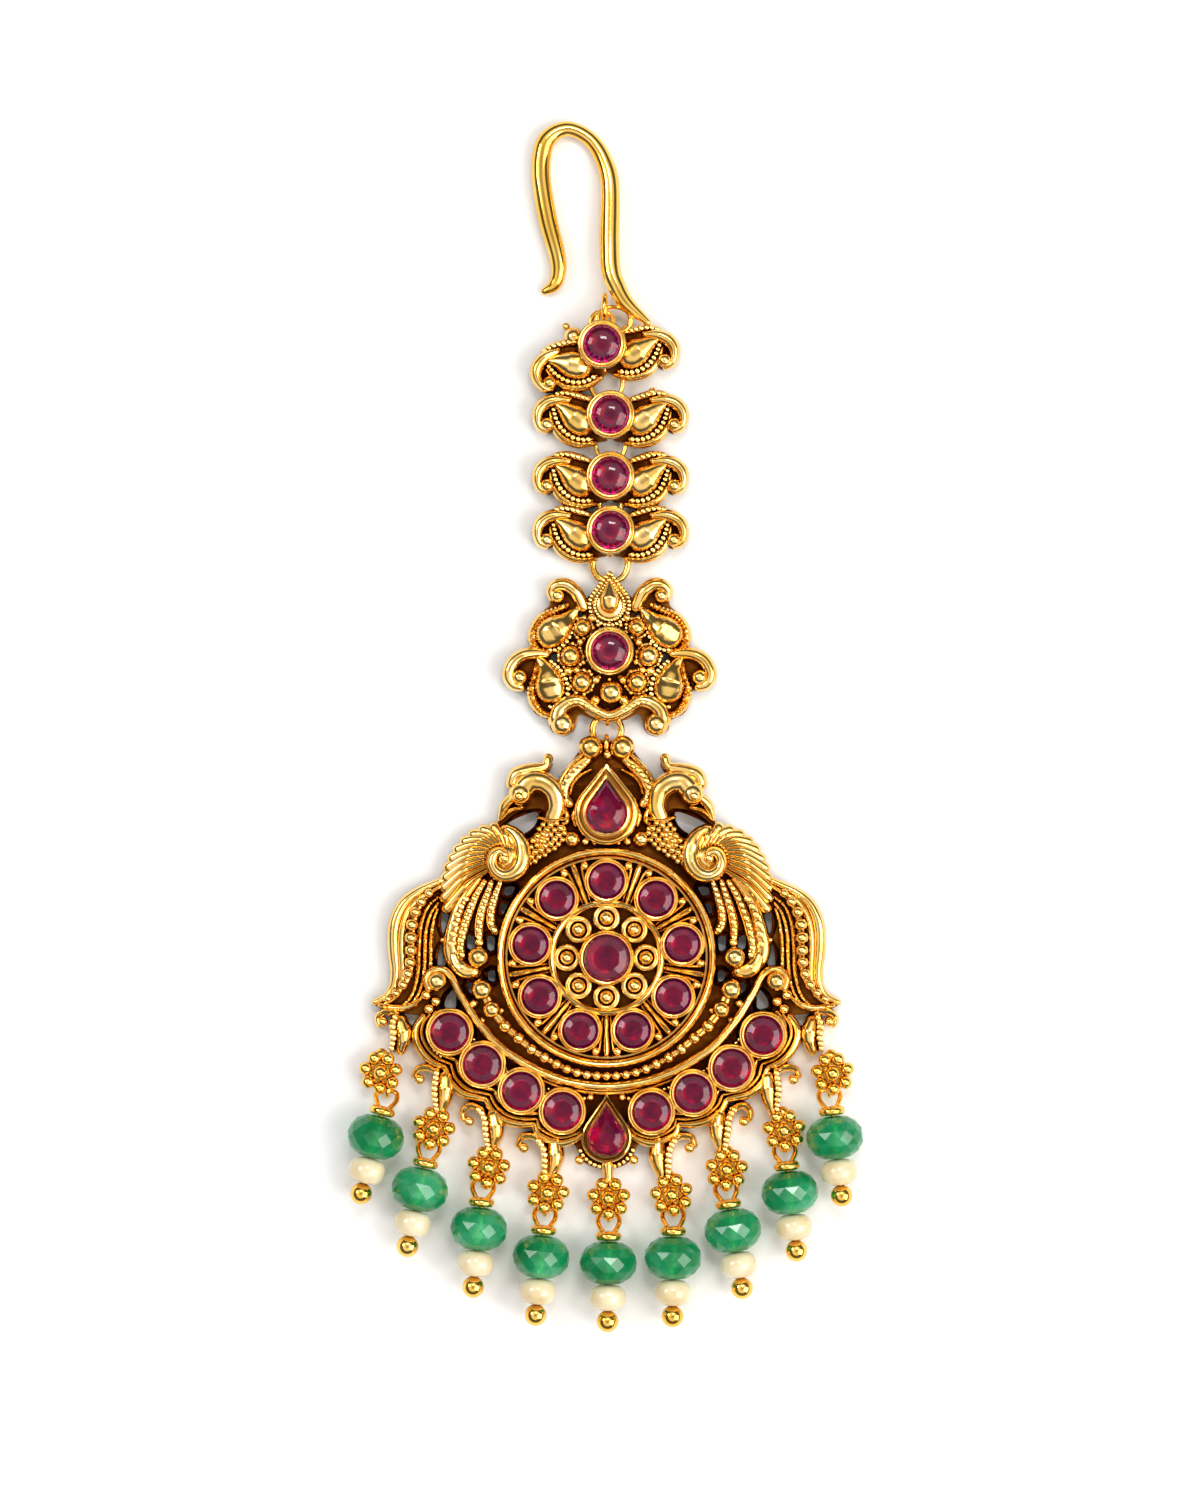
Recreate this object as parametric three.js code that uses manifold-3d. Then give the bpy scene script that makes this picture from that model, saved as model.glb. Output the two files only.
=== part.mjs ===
// Maang tikka, a jewel for the parting and the forehead, lying face up on a table.
// Millimetres, +Z up. The origin is the centre of the pendant's wheel, on the pendant's flat back,
// and +Y runs up the chain to the hook.
import * as THREE from 'three';
import { mergeVertices } from 'three/addons/utils/BufferGeometryUtils.js';
import Module from 'manifold-3d';

// Pendant: heights above the table, and the wheel
const plateThickness = 1.4;
const wheelRadius = 11;
const wheelFloor = 1.9;
const wheelRimWidth = 0.75;
const wheelRimTop = 3.1;
const innerRingRadius = 5.6;
const innerRingWidth = 0.5;
const innerRingTop = 2.6;
const spokeWidth = 0.5;
const spokeTop = 2.5;
const wheelStoneCount = 9;
const wheelStoneCircle = 7.7;
const cupCount = 8;
const cupCircle = 3.95;
const cupRadius = 1.1;
const cupTop = 2.35;
const cupBallTop = 2.95;
const railWidth = 0.8;
const railTop = 2.7;
const leafTop = 2.6;
const scrollTop = 2.5;
const fanRibTop = 2.3;
const voluteTop = 3.5;
const voluteWidth = 0.85;
const tailRidgeTop = 2.3;
const neckTop = 3.3;
const neckWidth = 1.7;
const reliefBase = 1;
const lowReliefBase = 0.5;
const throughTop = 6;
const crestWidth = 0.9;
const beakWidth = 1.2;
const plumeWidth = 1;
const tailRidgeWidth = 0.95;
const leafBandWidth = 1.2;
const stemWidth = 1.4;
const curlWidth = 1.4;

// Rubies and their settings
const rubyRadius = 1.72;
const centreRubyRadius = 2.25;
const rubyCrown = 0.7;
const tableShare = 0.6;
const bezelWall = 0.38;
const bezelTop = 3;
const rubySeat = 2.2;
const stoneClearance = 0.08;
const dropRubyWidth = 3.9;
const dropRubyLength = 5.3;
const dropRubyTop = 4.1;
const dropBezelTop = 3.3;
const centreRubyLift = 0.6;
const wheelRubyRise = 0.5;
const dropRimGrowth = 0.5;
const stripGap = 0.25;
const stripBarWidth = 2;
const stripBarHeight = 0.8;
const stripBedMargin = 0.25;
const stripRubyTop = 3.6;

// Chain: links, medallion and jump rings
const linkReach = 7.6;
const linkPlate = 1.8;
const linkCupTop = 3.6;
const linkRubyRadius = 1.85;
const linkRubySeat = 3;
const linkCoreRadius = 1.05;
const topLinkLift = 1.2;
const medallionReach = 10;
const medallionPlate = 1.6;
const medallionBezelTop = 3.6;
const linkRubyRise = 0.6;
const scrollWidth = 0.9;
const wingLeafTop = 3;
const moustacheWidth = 1;
const neckBarWidth = 0.6;
const medallionLeafRound = 1.25;
const topLeafRound = 2.2;
const medallionTopLeafTop = 2.2;
const eyeHeight = 1;
const smallEyeRadius = 0.6;
const smallEyeWire = 0.22;
const largeEyeRadius = 0.82;
const largeEyeWire = 0.28;
const smallRingWire = 0.24;
const largeRingWire = 0.34;
const pendantRingRadius = 1.45;
const medallionRingRadius = 1.75;
const thirdRingRadius = 1.11;
const secondRingRadius = 1.46;
const firstRingRadius = 1.6;
const linkEyeReach = 1.6;
const topLinkEyeReach = 2.2;
const ringClearance = 0.25;
const eyePostWidth = 0.6;

// Hook and the ring that it hangs on
const wireDiameter = 2;
const hookLength = 19.2;
const hookEyeWidth = 3.4;
const hookEyeDepth = 2.6;
const hookEyeWire = 0.28;
const hookEyeHeight = 2.3;
const topRingRadius = 1.3;
const topRingWire = 0.3;
const topRingHeight = 1.95;
const linkEyeRadius = 1.15;
const linkEyeWire = 0.25;
const linkEyeHeight = 1.5;

// Rosettes and drops
const rosetteRadius = 2.1;
const rosetteBottom = 1.6;
const rosetteTop = 2.9;
const rosetteLobes = 8;
const beadRadius = 2.85;
const beadLength = 4.2;
const pearlRadius = 1.85;
const pearlLength = 2.55;
const boreRadius = 0.55;
const shaftRadius = 0.28;
const dropBallRadius = 1.08;
const capRadius = 1.35;
const capThickness = 0.7;
const dropGap = 0.12;
const loopWire = 0.19;
const loopLength = 2.1;
const loopHalfWidth = 0.95;
const loopShoulder = 0.5;
const loopRootHalf = 0.25;
const beadClearance = 0.02;
const dropEyeRadius = 0.6;
const dropEyeWire = 0.22;

// Fineness of the faceting
const roundSides = 10;
const rubySides = 8;
const eyeSteps = 6;
const wheelSides = 22;
const ballSides = 8;
const knobSides = 6;
const knobRows = 3;

// The tables count in these parts: elevenths of the wheel, tenths of the medallion, and so on.
const pendantPart = wheelRadius / 11;
const medallionPart = medallionReach / 10;
const linkPart = linkReach / 7.6;
const hookPart = hookLength / 19.2;
const rosettePart = rosetteRadius / 2.1;

// Outlines of the pendant's right half, as x and y, from the axis outward and back.
const crownOutline = [[0, 21.4], [1, 22.1], [2.2, 22], [2.8, 20.6], [4.2, 18.9], [4.95, 16.9], [4.2, 13],
  [3.8, 9], [0, 9]];
const peacockOutline = [[3.6, 11], [4.4, 14.5], [4.2, 15.4], [4.6, 16.6], [5.9, 18.2], [5.5, 19.3],
  [5.9, 20.1], [6.7, 19.3], [9.2, 18.9], [9.9, 17.6], [9.9, 16.2], [10.9, 13.4], [11.2, 12], [8, 8.6],
  [5, 9]];
const wingOutline = [[7.4, 11], [8.2, 12.4], [10, 13], [11.5, 13.1], [12.8, 12.6], [14, 12], [15.4, 10.3],
  [16.2, 8.3], [16.6, 7.4], [16.2, 2], [15.9, 0], [15.3, -1.2], [14.2, -2.1], [11.6, -2.4], [9, 0.5],
  [7.2, 7]];
const tailOutline = [[15.6, 8.3], [17.6, 7.5], [19.3, 6.7], [20.8, 5.3], [21.6, 3.2], [21.6, -0.6],
  [21.7, -2.8], [22.3, -3.8], [23.5, -4.4], [22.4, -5.3], [19.8, -5.7], [18.2, -5.4], [16.6, -3.4],
  [16.2, 2], [16.2, 5]];
const crescentOutline = [[0, -9], [7, -7], [10.4, -1.8], [14.5, -1.6], [16.2, -1.1], [17.7, -1.8],
  [18.9, -4.6], [18.7, -5.7], [19.4, -7.4], [18.8, -9.5], [17.6, -10.7], [16.3, -11.2], [15.8, -12.6],
  [14.6, -13.8], [12.2, -14.4], [11.5, -15.6], [10.3, -16.6], [8.6, -17], [7.4, -17], [6.8, -18.1],
  [4.6, -18.9], [3.3, -18.7], [2.4, -20.5], [1.1, -21.3], [0, -21.4]];

// Openings through the pendant's right half.
const pendantGaps = [
  [[6.9, 14.5], [8.3, 14.2], [10, 13.2], [8.6, 12.3], [7.2, 13.2]],
  [[15.8, 4.3], [16.5, 4.4], [16.5, 2.5], [15.8, 2.4]],
  [[15.9, 1.1], [16.7, 1.1], [16.9, -1], [16.2, -0.9]],
  [[13.2, 1.9], [13.9, 2.2], [13.9, 0.9], [13.2, 0.8]],
  [[15.2, -3.2], [16, -4], [16.2, -5], [15.1, -5.1]],
];

// Ridges of the pendant's right half: a path and its widths, shared out along it.
const crownLeaf = [[2, 19.4], [3.5, 18.5], [4.3, 17], [3.8, 15.4]];
const neckPath = [[5.4, 13.8], [5.1, 15.6], [6.2, 17.2], [8.3, 16.9]];
const crestPath = [[5.9, 19.9], [6.5, 18.9], [8.9, 18.5], [9.5, 17.4]];
const beakPath = [[9.4, 15.8], [10.6, 13.7]];
const breastOutline = [[4.5, 13.6], [6.4, 13.6], [8.1, 11.9], [7.6, 9.8], [6.2, 10], [4.7, 12]];
const breastCentre = [6.4, 11.7];
const volutePath = [[10.4, 12.4], [9, 12], [8.2, 10.4], [8.7, 8.5], [10.3, 7.7], [11.7, 8.6], [11.9, 10],
  [10.9, 10.7]];
const fanRibs = [[[11.3, 11.6], [12.8, 12.2]], [[12.2, 10.9], [14.8, 10.9]], [[12.7, 9.8], [15.8, 8.6]],
  [[12.6, 8.6], [16, 5.8]]];
const plumes = [[[10.9, 7.2], [11.6, 5], [11.3, 2.6]], [[12, 7.2], [12.8, 4.4], [12.8, 1.7]],
  [[13, 7.2], [14.8, 4], [15.5, 1], [14.9, -0.9], [13.3, -1.4]]];
const tailRidges = [
  [[16.2, 7.5], [18.9, 6.3], [20.5, 4.3], [21, 1], [20.9, -2], [22.7, -4.4]],
  [[16.4, 6.3], [18.6, 4.5], [19.3, 1.2], [19.4, -1.8], [20.8, -4.6]],
];
const railPath = [[16.6, -1.9], [15.2, -2.4], [13.4, -5.7], [11, -8.6], [7.6, -11], [3.5, -12.5]];
// Balls of the pendant's right half: x, y, radius, height of the centre.
const pendantBalls = [[1.6, 21, 1.25, 1.9], [8.6, 16.5, 1.15, 2.6], [10.9, 9.7, 0.85, 2.2],
  [12.85, -0.3, 0.95, 1.9], [16.95, -2.45, 1, 2], [12.35, -3.3, 0.85, 1.7], [11.4, -5.35, 0.7, 1.7],
  [10.2, -6.95, 0.58, 1.7]];

// Crescent: the places of its rubies, right then left, outermost first.
const crescentStones = [
  [[15.65, -7.7], [12.5, -11], [8.65, -13.5], [4.5, -15.35]],
  [[-15.65, -7.4], [-12.4, -10.65], [-8.5, -13.3], [-4.4, -15.3]],
];

// Finials of the right half, outermost first: round end, bend of the curl and its ball. The leaf's
// tip is under the rosette that hangs there.
const finials = [
  { round: [19.7, -7.7], curl: [21.2, -6.2], ball: [22.4, -6.6] },
  { round: [16.4, -12.4], curl: [17.8, -11.4], ball: [18.8, -12] },
  { round: [11.3, -16.9], curl: [13, -15.6], ball: [13.9, -16.1] },
  { round: [5.2, -19.1], curl: [7.5, -18.4], ball: [8.4, -19] },
];
const finialRound = 1.1;

// Drops from left to right: rosette, the way from it to the cap, and the drop's lean in degrees.
const drops = [
  { rosette: [-22.6, -11.5], toCap: [0.2, -3.9], lean: -14.5 },
  { rosette: [-17.3, -17.1], toCap: [-0.8, -3.5], lean: -12.2 },
  { rosette: [-11.8, -21], toCap: [-0.7, -3.5], lean: -5.6 },
  { rosette: [-5.9, -23.5], toCap: [-0.4, -3.8], lean: -5.3 },
  { rosette: [0.2, -24.1], toCap: [0, -3.8], lean: -0.7 },
  { rosette: [6.5, -23.7], toCap: [0.15, -3.7], lean: -0.4 },
  { rosette: [12, -21.2], toCap: [0.2, -3.5], lean: 9.1 },
  { rosette: [17.75, -17.3], toCap: [0.25, -3.6], lean: 6.6 },
  { rosette: [22.6, -11.6], toCap: [-0.1, -3.8], lean: 6.6 },
];
const footStem = [[0.1, -20.8], [0.2, -24.1]];

// Section of a drilled bead and a pearl: share of its radius, share of its half length.
const beadShoulders = [[0.84, -0.62], [1, 0], [0.84, 0.62]];
const pearlShoulders = [[0.97, -0.35], [0.97, 0.35]];

// Medallion, right half, about its ruby.
const medallionAxis = 0.3;
const medallionEyes = { top: 6.95, bottom: 6.45 };
const medallionOutline = [[0, 8.2], [1, 7], [2.2, 5.4], [2.7, 5], [3.1, 6.2], [4.3, 7.3], [5.6, 7.1],
  [6.3, 6], [6, 4.7], [6.9, 3.8], [7.8, 2.6], [8.1, 1.2], [7.6, 0.4], [8.8, 0.05], [10, -0.8], [10.5, -2.3],
  [10, -3.8], [8.9, -4.1], [8.2, -3.9], [8.1, -5.1], [7.4, -6.3], [6.2, -6.9], [5.8, -8], [4.6, -8.6],
  [3.4, -7.9], [3.2, -6.5], [1.6, -7], [0, -7.2]];
const medallionGaps = [[[2.5, 3.9], [3.2, 4.1], [3.3, 3.2], [2.7, 3]],
  [[5.3, -0.4], [5.9, -0.3], [5.8, -1], [5.3, -1]]];
const medallionScrolls = [[[3.1, 5], [3.9, 6.2], [5.3, 6.4], [5.7, 5.4]],
  [[6.8, -0.4], [8.7, -0.6], [9.8, -2.2], [9, -3.5]]];
const medallionBands = [[[4.4, 4.4], [6.7, 3], [7.3, 1.2]], [[7.4, -2.6], [7.4, -4.8], [6, -6.1]]];
const moustachePath = [[0, -6.5], [2.9, -5.2], [4.6, -5.4], [5.3, -6.8]];
const medallionLeaves = [{ tip: [3.5, 4.1], round: [6, 1.7] }, { tip: [6.7, -0.8], round: [5.9, -3.6] }];
const medallionTopLeaf = { tip: [0, 8], round: [0, 4.6], innerTip: [0, 6.7], innerRound: [0, 5.2] };
const medallionFootBall = [0.15, -4.1, 1.15, 2.3];
const medallionBalls = [[4.6, -7.4, 1.1, 1.9], [3.95, -0.5, 0.95, 2.2], [2.75, -3, 0.95, 2.2]];

// Link wing, right side, about the link's ruby.
const linkAxis = { third: 0.4, second: 0.4, first: 0.4, top: -0.45 };
const crownEyePlace = 21.3;
const crownRubyTip = 17.8;
const footRubyTip = -14.7;
const railFoot = [0, -12.95];
const topLinkLump = [-2.85, 0.9];
const wingPlate = [[0, 1.6], [2.1, 1.5], [4, 2.35], [4.9, 2.45], [6.5, 1.6], [7.4, 0.7], [7.6, -0.6],
  [7, -1.7], [6.2, -1.9], [5.5, -1.6], [5, -0.8], [4.6, -1.8], [4, -2.8], [3.2, -3.05], [2.2, -3.05],
  [1.2, -2.4], [0, -1.6]];
const wingCurl = [[2.4, 1.05], [4.5, 1.85], [6.3, 1.15], [7, -0.2], [6.6, -1.2]];
const wingBand = [[1.9, -2.3], [3.3, -2.55], [4.4, -1]];
const wingLeaf = { tip: [4.9, 1.2], round: [3, -0.4], radius: 1.1 };
const topLinkTurns = { right: -5, left: -27 };

// Hook, from its tail: x, y, share of the wire's diameter, height of the centre in diameters.
const hookPath = [[3.35, -0.25, 0.36, 1.2], [1.25, 1.65, 0.8, 1.15], [0.3, 3.25, 0.92, 1.1],
  [-0.3, 4.95, 1, 1], [-0.45, 8, 1, 0.83], [-0.42, 13.6, 0.95, 0.62], [-1.1, 16.25, 0.86, 0.53],
  [-2.25, 18.05, 0.78, 0.5], [-3.75, 19.05, 0.75, 0.5], [-5.05, 19.2, 0.78, 0.5], [-6.35, 18.55, 0.88, 0.5],
  [-7.1, 17.25, 0.96, 0.5], [-7.3, 14.5, 0.97, 0.51], [-6.65, 10.3, 0.97, 0.51], [-5.65, 6.4, 0.86, 0.5],
  [-5.6, 4.6, 0.75, 0.47], [-6.1, 3.5, 0.64, 0.4], [-6.95, 3.0, 0.4, 0.33]];
const topRingShift = { x: 0.25, y: 1.45 };
const hookEyeShift = { x: 1.2, y: 0.25 };

const wasm = await Module();
wasm.setup();

// Colours of the real materials.
const finishes = {
  gold: { color: 0xe3a93a, metalness: 1, roughness: 0.28 },
  brightGold: { color: 0xf2bf4a, metalness: 1, roughness: 0.15 },
  ruby: { color: 0x8c0a3c, metalness: 0, roughness: 0.12 },
  green: { color: 0x2f9a63, metalness: 0, roughness: 0.2 },
  pearl: { color: 0xf3ead8, metalness: 0, roughness: 0.3 },
};

function turn([x, y], degrees) {
  const angle = THREE.MathUtils.degToRad(degrees);
  return [x * Math.cos(angle) - y * Math.sin(angle), x * Math.sin(angle) + y * Math.cos(angle)];
}

// A table's point on the real piece: mirrored by its side, turned, sized and moved.
function spot(point, part, side = 1, centre = [0, 0], degrees = 0) {
  const [x, y] = turn([point[0] * side, point[1]], degrees);
  return [centre[0] + x * part, centre[1] + y * part];
}

function spots(points, part, side, centre, degrees) {
  return points.map((point) => spot(point, part, side, centre, degrees));
}

// A half outline and its mirror image, as one closed outline.
function wholeOutline(half, part, centre) {
  return [...spots(half, part, 1, centre), ...spots(half, part, -1, centre).reverse()];
}

// A closed geometry as a solid whose faces point out.
function solid(geometry) {
  geometry.deleteAttribute('normal');
  geometry.deleteAttribute('uv');
  const merged = mergeVertices(geometry, 1e-4);
  const places = merged.attributes.position;
  const corner = [new THREE.Vector3(), new THREE.Vector3(), new THREE.Vector3()];
  const kept = [];
  let volume = 0;
  for (let i = 0; i < merged.index.count; i += 3) {
    const [a, b, c] = [0, 1, 2].map((k) => merged.index.getX(i + k));
    if (a === b || b === c || c === a) continue;
    kept.push([a, b, c]);
    corner.forEach((vector, k) => vector.fromBufferAttribute(places, [a, b, c][k]));
    volume += corner[0].dot(corner[1].clone().cross(corner[2]));
  }
  const faces = volume > 0 ? kept : kept.map(([a, b, c]) => [a, c, b]);
  const vertProperties = new Float32Array(places.array);
  const triVerts = new Uint32Array(faces.flat());
  return new wasm.Manifold(new wasm.Mesh({ numProp: 3, vertProperties, triVerts }));
}

function join(solids) {
  return solids.reduce((whole, next) => whole.add(next));
}

function cut(whole, tools) {
  return tools.reduce((left, tool) => left.subtract(tool), whole);
}

// A skin through rings of equally many points, closed at both ends.
function loft(rings) {
  const count = rings[0].length;
  const places = rings.flat(2);
  const faces = [];
  for (let ring = 0; ring + 1 < rings.length; ring += 1) {
    for (let k = 0; k < count; k += 1) {
      const [a, b] = [ring * count + k, ring * count + ((k + 1) % count)];
      faces.push(a, b, b + count, a, b + count, a + count);
    }
  }
  for (const [ring, flip] of [[0, true], [rings.length - 1, false]]) {
    const first = ring * count;
    for (let k = 1; k + 1 < count; k += 1) {
      faces.push(first, first + (flip ? k + 1 : k), first + (flip ? k : k + 1));
    }
  }
  const geometry = new THREE.BufferGeometry();
  geometry.setAttribute('position', new THREE.Float32BufferAttribute(places, 3));
  geometry.setIndex(faces);
  return solid(geometry);
}

// A flat outline raised between two heights.
function slab(outline, bottom, top) {
  const shape = new THREE.Shape(outline.map(([x, y]) => new THREE.Vector2(x, y)));
  const geometry = new THREE.ExtrudeGeometry(shape, { depth: top - bottom, bevelEnabled: false });
  return solid(geometry.translate(0, 0, bottom));
}

// What is cut right through the metal within an outline.
function opening(outline) {
  return slab(outline, -reliefBase, throughTop);
}

function circle([x, y], radius, sides, phase = 0) {
  return Array.from({ length: sides }, (_, k) => {
    const angle = phase + (2 * Math.PI * k) / sides;
    return [x + radius * Math.cos(angle), y + radius * Math.sin(angle)];
  });
}

function ball([x, y], radius, height, sides = knobSides, rows = knobRows) {
  const geometry = new THREE.SphereGeometry(radius, sides, rows).rotateX(Math.PI / 2);
  return solid(geometry.translate(x, y, height));
}

// A body turned about an upright axis, from a profile of radius and height.
function turned(profile, [x, y], sides) {
  const points = profile.map(([radius, height]) => new THREE.Vector2(radius, height));
  const geometry = new THREE.LatheGeometry(points, sides).rotateX(Math.PI / 2);
  return solid(geometry.translate(x, y, 0));
}

// A wire ring whose axis has the given direction.
function wireRing([x, y, z], radius, wire, axis, steps = roundSides) {
  const geometry = new THREE.TorusGeometry(radius, wire, 5, steps);
  const facing = new THREE.Quaternion().setFromUnitVectors(new THREE.Vector3(0, 0, 1), axis);
  return solid(geometry.applyQuaternion(facing).translate(x, y, z));
}

// A ridge along a flat path, from a bottom height to a top one. Its widths are shared along it.
const ridgeSection = [[-1, 0], [-0.6, 1], [0.6, 1], [1, 0]];
const roofSection = [[-1, 0], [0, 1], [1, 0]];
const boxSection = [[-1, 0], [-1, 1], [1, 1], [1, 0]];
function ridge(path, widths, bottom, top, section = ridgeSection) {
  const rings = path.map((point, i) => {
    const before = path[Math.max(i - 1, 0)];
    const after = path[Math.min(i + 1, path.length - 1)];
    const run = Math.hypot(after[0] - before[0], after[1] - before[1]);
    const across = [(before[1] - after[1]) / run, (after[0] - before[0]) / run];
    const place = (i / (path.length - 1)) * (widths.length - 1);
    const low = Math.min(Math.floor(place), widths.length - 2);
    const half = THREE.MathUtils.lerp(widths[low], widths[low + 1], place - low) / 2;
    const move = (axis, aside) => point[axis] + across[axis] * half * aside;
    return section.map(([aside, up]) => [move(0, aside), move(1, aside), bottom + (top - bottom) * up]);
  });
  return loft(rings);
}

// The outline of a drop: a tip, and an arc round the other end.
function dropOutline(tip, round, radius, arcSteps = 7) {
  const reach = Math.hypot(tip[0] - round[0], tip[1] - round[1]);
  const facing = Math.atan2(tip[1] - round[1], tip[0] - round[0]);
  const touch = Math.acos(Math.min(radius / reach, 1));
  const arc = Array.from({ length: arcSteps + 1 }, (_, k) => {
    const angle = facing + touch + ((2 * Math.PI - 2 * touch) * k) / arcSteps;
    return [round[0] + radius * Math.cos(angle), round[1] + radius * Math.sin(angle)];
  });
  return [tip, ...arc];
}

function shrunk(outline, centre, share, height) {
  return outline.map((point) => [...[0, 1].map((k) => centre[k] + (point[k] - centre[k]) * share), height]);
}

// A puffed form over an outline, with a soft crown about a centre.
function puff(outline, centre, bottom, top) {
  const rise = top - bottom;
  return loft([shrunk(outline, centre, 1, bottom), shrunk(outline, centre, 0.88, bottom + rise * 0.65),
    shrunk(outline, centre, 0, top)]);
}

// A cut stone: girdle, sloping crown and flat table.
function cutStone(outline, centre, seat, girdle, top) {
  return loft([shrunk(outline, centre, 1, seat), shrunk(outline, centre, 1, girdle),
    shrunk(outline, centre, tableShare, top)]);
}

// A round setting with its pocket open at the top.
function roundSetting(centre, stoneRadius, bottom, seat, top, sides = roundSides) {
  const wall = slab(circle(centre, stoneRadius + stoneClearance + bezelWall, sides), bottom, top);
  const pocket = slab(circle(centre, stoneRadius + stoneClearance, sides), seat, top + 1);
  return { wall, pocket };
}

function roundStone(centre, radius, seat, top, sides = roundSides) {
  return cutStone(circle(centre, radius, sides), centre, seat + stoneClearance, top - rubyCrown * 0.8, top);
}

// The wheel: a turned disc with its rim and inner ring, spokes, cups and settings.
function wheel() {
  const rimIn = wheelRadius - wheelRimWidth;
  const ringIn = innerRingRadius - innerRingWidth;
  const slope = innerRingWidth * 0.2;
  const face = [[0, 0], [wheelRadius, 0], [wheelRadius, wheelRimTop - slope * 3],
    [wheelRadius - slope * 2, wheelRimTop], [rimIn, wheelRimTop], [rimIn - slope, wheelFloor],
    [innerRingRadius, wheelFloor], [innerRingRadius - slope, innerRingTop], [ringIn + slope, innerRingTop],
    [ringIn, wheelFloor], [0, wheelFloor]];
  const disc = turned(face, [0, 0], wheelSides);
  const solids = [disc];
  const pockets = [];
  for (const [k, centre] of wheelStones().entries()) {
    const { wall, pocket } = roundSetting(centre, rubyRadius, reliefBase, rubySeat, bezelTop, rubySides);
    const angle = Math.PI / 2 + (2 * Math.PI * (k + 0.5)) / wheelStoneCount;
    const ends = [innerRingRadius - slope, rimIn + slope];
    const spoke = ends.map((r) => [r * Math.cos(angle), r * Math.sin(angle)]);
    solids.push(wall, ridge(spoke, [spokeWidth, spokeWidth * 1.4], reliefBase, spokeTop, roofSection));
    pockets.push(pocket);
  }
  for (const centre of circle([0, 0], cupCircle, cupCount)) {
    const cup = circle(centre, cupRadius, knobSides);
    solids.push(loft([shrunk(cup, centre, 1, reliefBase), shrunk(cup, centre, 0.95, cupTop),
      shrunk(cup, centre, 0, cupBallTop)]));
  }
  const seat = rubySeat + centreRubyLift;
  const top = bezelTop + centreRubyLift;
  const middle = roundSetting([0, 0], centreRubyRadius, reliefBase, seat, top, roundSides + 2);
  solids.push(middle.wall);
  pockets.push(middle.pocket);
  return { solids, pockets };
}

function wheelStones() {
  return circle([0, 0], wheelStoneCircle, wheelStoneCount, Math.PI / 2);
}

// The two drop-shaped rubies of the axis: places of the tip and of the round end's centre.
function dropRuby(tipShare) {
  const radius = dropRubyWidth / 2;
  const tip = [0, tipShare * pendantPart];
  return { tip, round: [0, tip[1] - dropRubyLength + radius], radius };
}

function dropSetting({ tip, round, radius }) {
  const grow = (extra) => dropOutline([0, tip[1] + extra * 1.6], round, radius + extra);
  return {
    wall: slab(grow(stoneClearance + bezelWall + dropRimGrowth), lowReliefBase, dropBezelTop),
    pocket: slab(grow(stoneClearance), rubySeat, dropBezelTop + 1),
  };
}

function dropStone({ tip, round, radius }) {
  const outline = dropOutline(tip, round, radius);
  return cutStone(outline, round, rubySeat + stoneClearance, dropBezelTop, dropRubyTop);
}

function crown(side) {
  const leaf = spots(crownLeaf, pendantPart, side);
  return [ridge(leaf, [leafBandWidth * 0.8, leafBandWidth, leafBandWidth * 0.75], reliefBase, leafTop)];
}

function peacock(side) {
  const put = (path) => spots(path, pendantPart, side);
  const breast = put(breastOutline);
  return [
    ridge(put(neckPath), [neckWidth, neckWidth, neckWidth * 1.2], reliefBase, neckTop),
    ridge(put(crestPath), [crestWidth * 0.6, crestWidth, crestWidth], reliefBase, leafTop, roofSection),
    ridge(put(beakPath), [beakWidth, beakWidth / 2], reliefBase, leafTop, roofSection),
    puff(breast, spot(breastCentre, pendantPart, side), reliefBase, leafTop),
  ];
}

function wing(side) {
  const put = (path) => spots(path, pendantPart, side);
  const raised = (path, widths) => ridge(put(path), widths, reliefBase, fanRibTop, roofSection);
  const ribs = fanRibs.map((rib) => raised(rib, [plumeWidth * 0.5, plumeWidth * 0.9]));
  const feathers = plumes.map((plume) => raised(plume, [plumeWidth * 0.7, plumeWidth, plumeWidth * 0.9]));
  const spiralWidths = [voluteWidth * 0.8, voluteWidth, voluteWidth * 0.8];
  const spiral = ridge(put(volutePath), spiralWidths, reliefBase, voluteTop);
  return [spiral, ...ribs, ...feathers];
}

function tail(side) {
  const widths = [tailRidgeWidth * 0.75, tailRidgeWidth, tailRidgeWidth * 0.5];
  const put = (path) => spots(path, pendantPart, side);
  return tailRidges.map((path) => ridge(put(path), widths, reliefBase, tailRidgeTop, roofSection));
}

function crescent() {
  const right = spots(railPath, pendantPart, 1);
  const left = spots(railPath, pendantPart, -1);
  const path = [...right, spot(railFoot, pendantPart), ...left.reverse()];
  return [ridge(path, [railWidth, railWidth], reliefBase, railTop)];
}

function finial(side, { round, curl, ball: knob }, place) {
  const [roundSpot, bend, knobSpot] = spots([round, curl, knob], pendantPart, side);
  const { centre } = dropFrame(drops[side > 0 ? drops.length - 1 - place : place]);
  const share = (rosetteRadius * 0.25) / Math.hypot(roundSpot[0] - centre[0], roundSpot[1] - centre[1]);
  const tipSpot = centre.map((value, axis) => value + (roundSpot[axis] - value) * share);
  const outline = dropOutline(tipSpot, roundSpot, finialRound * pendantPart, 4);
  const curlWidths = [curlWidth, curlWidth * 0.65, curlWidth * 0.7];
  return [
    puff(outline, roundSpot, 0, leafTop),
    ridge([roundSpot, bend, knobSpot], curlWidths, 0, scrollTop, roofSection),
  ];
}

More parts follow.
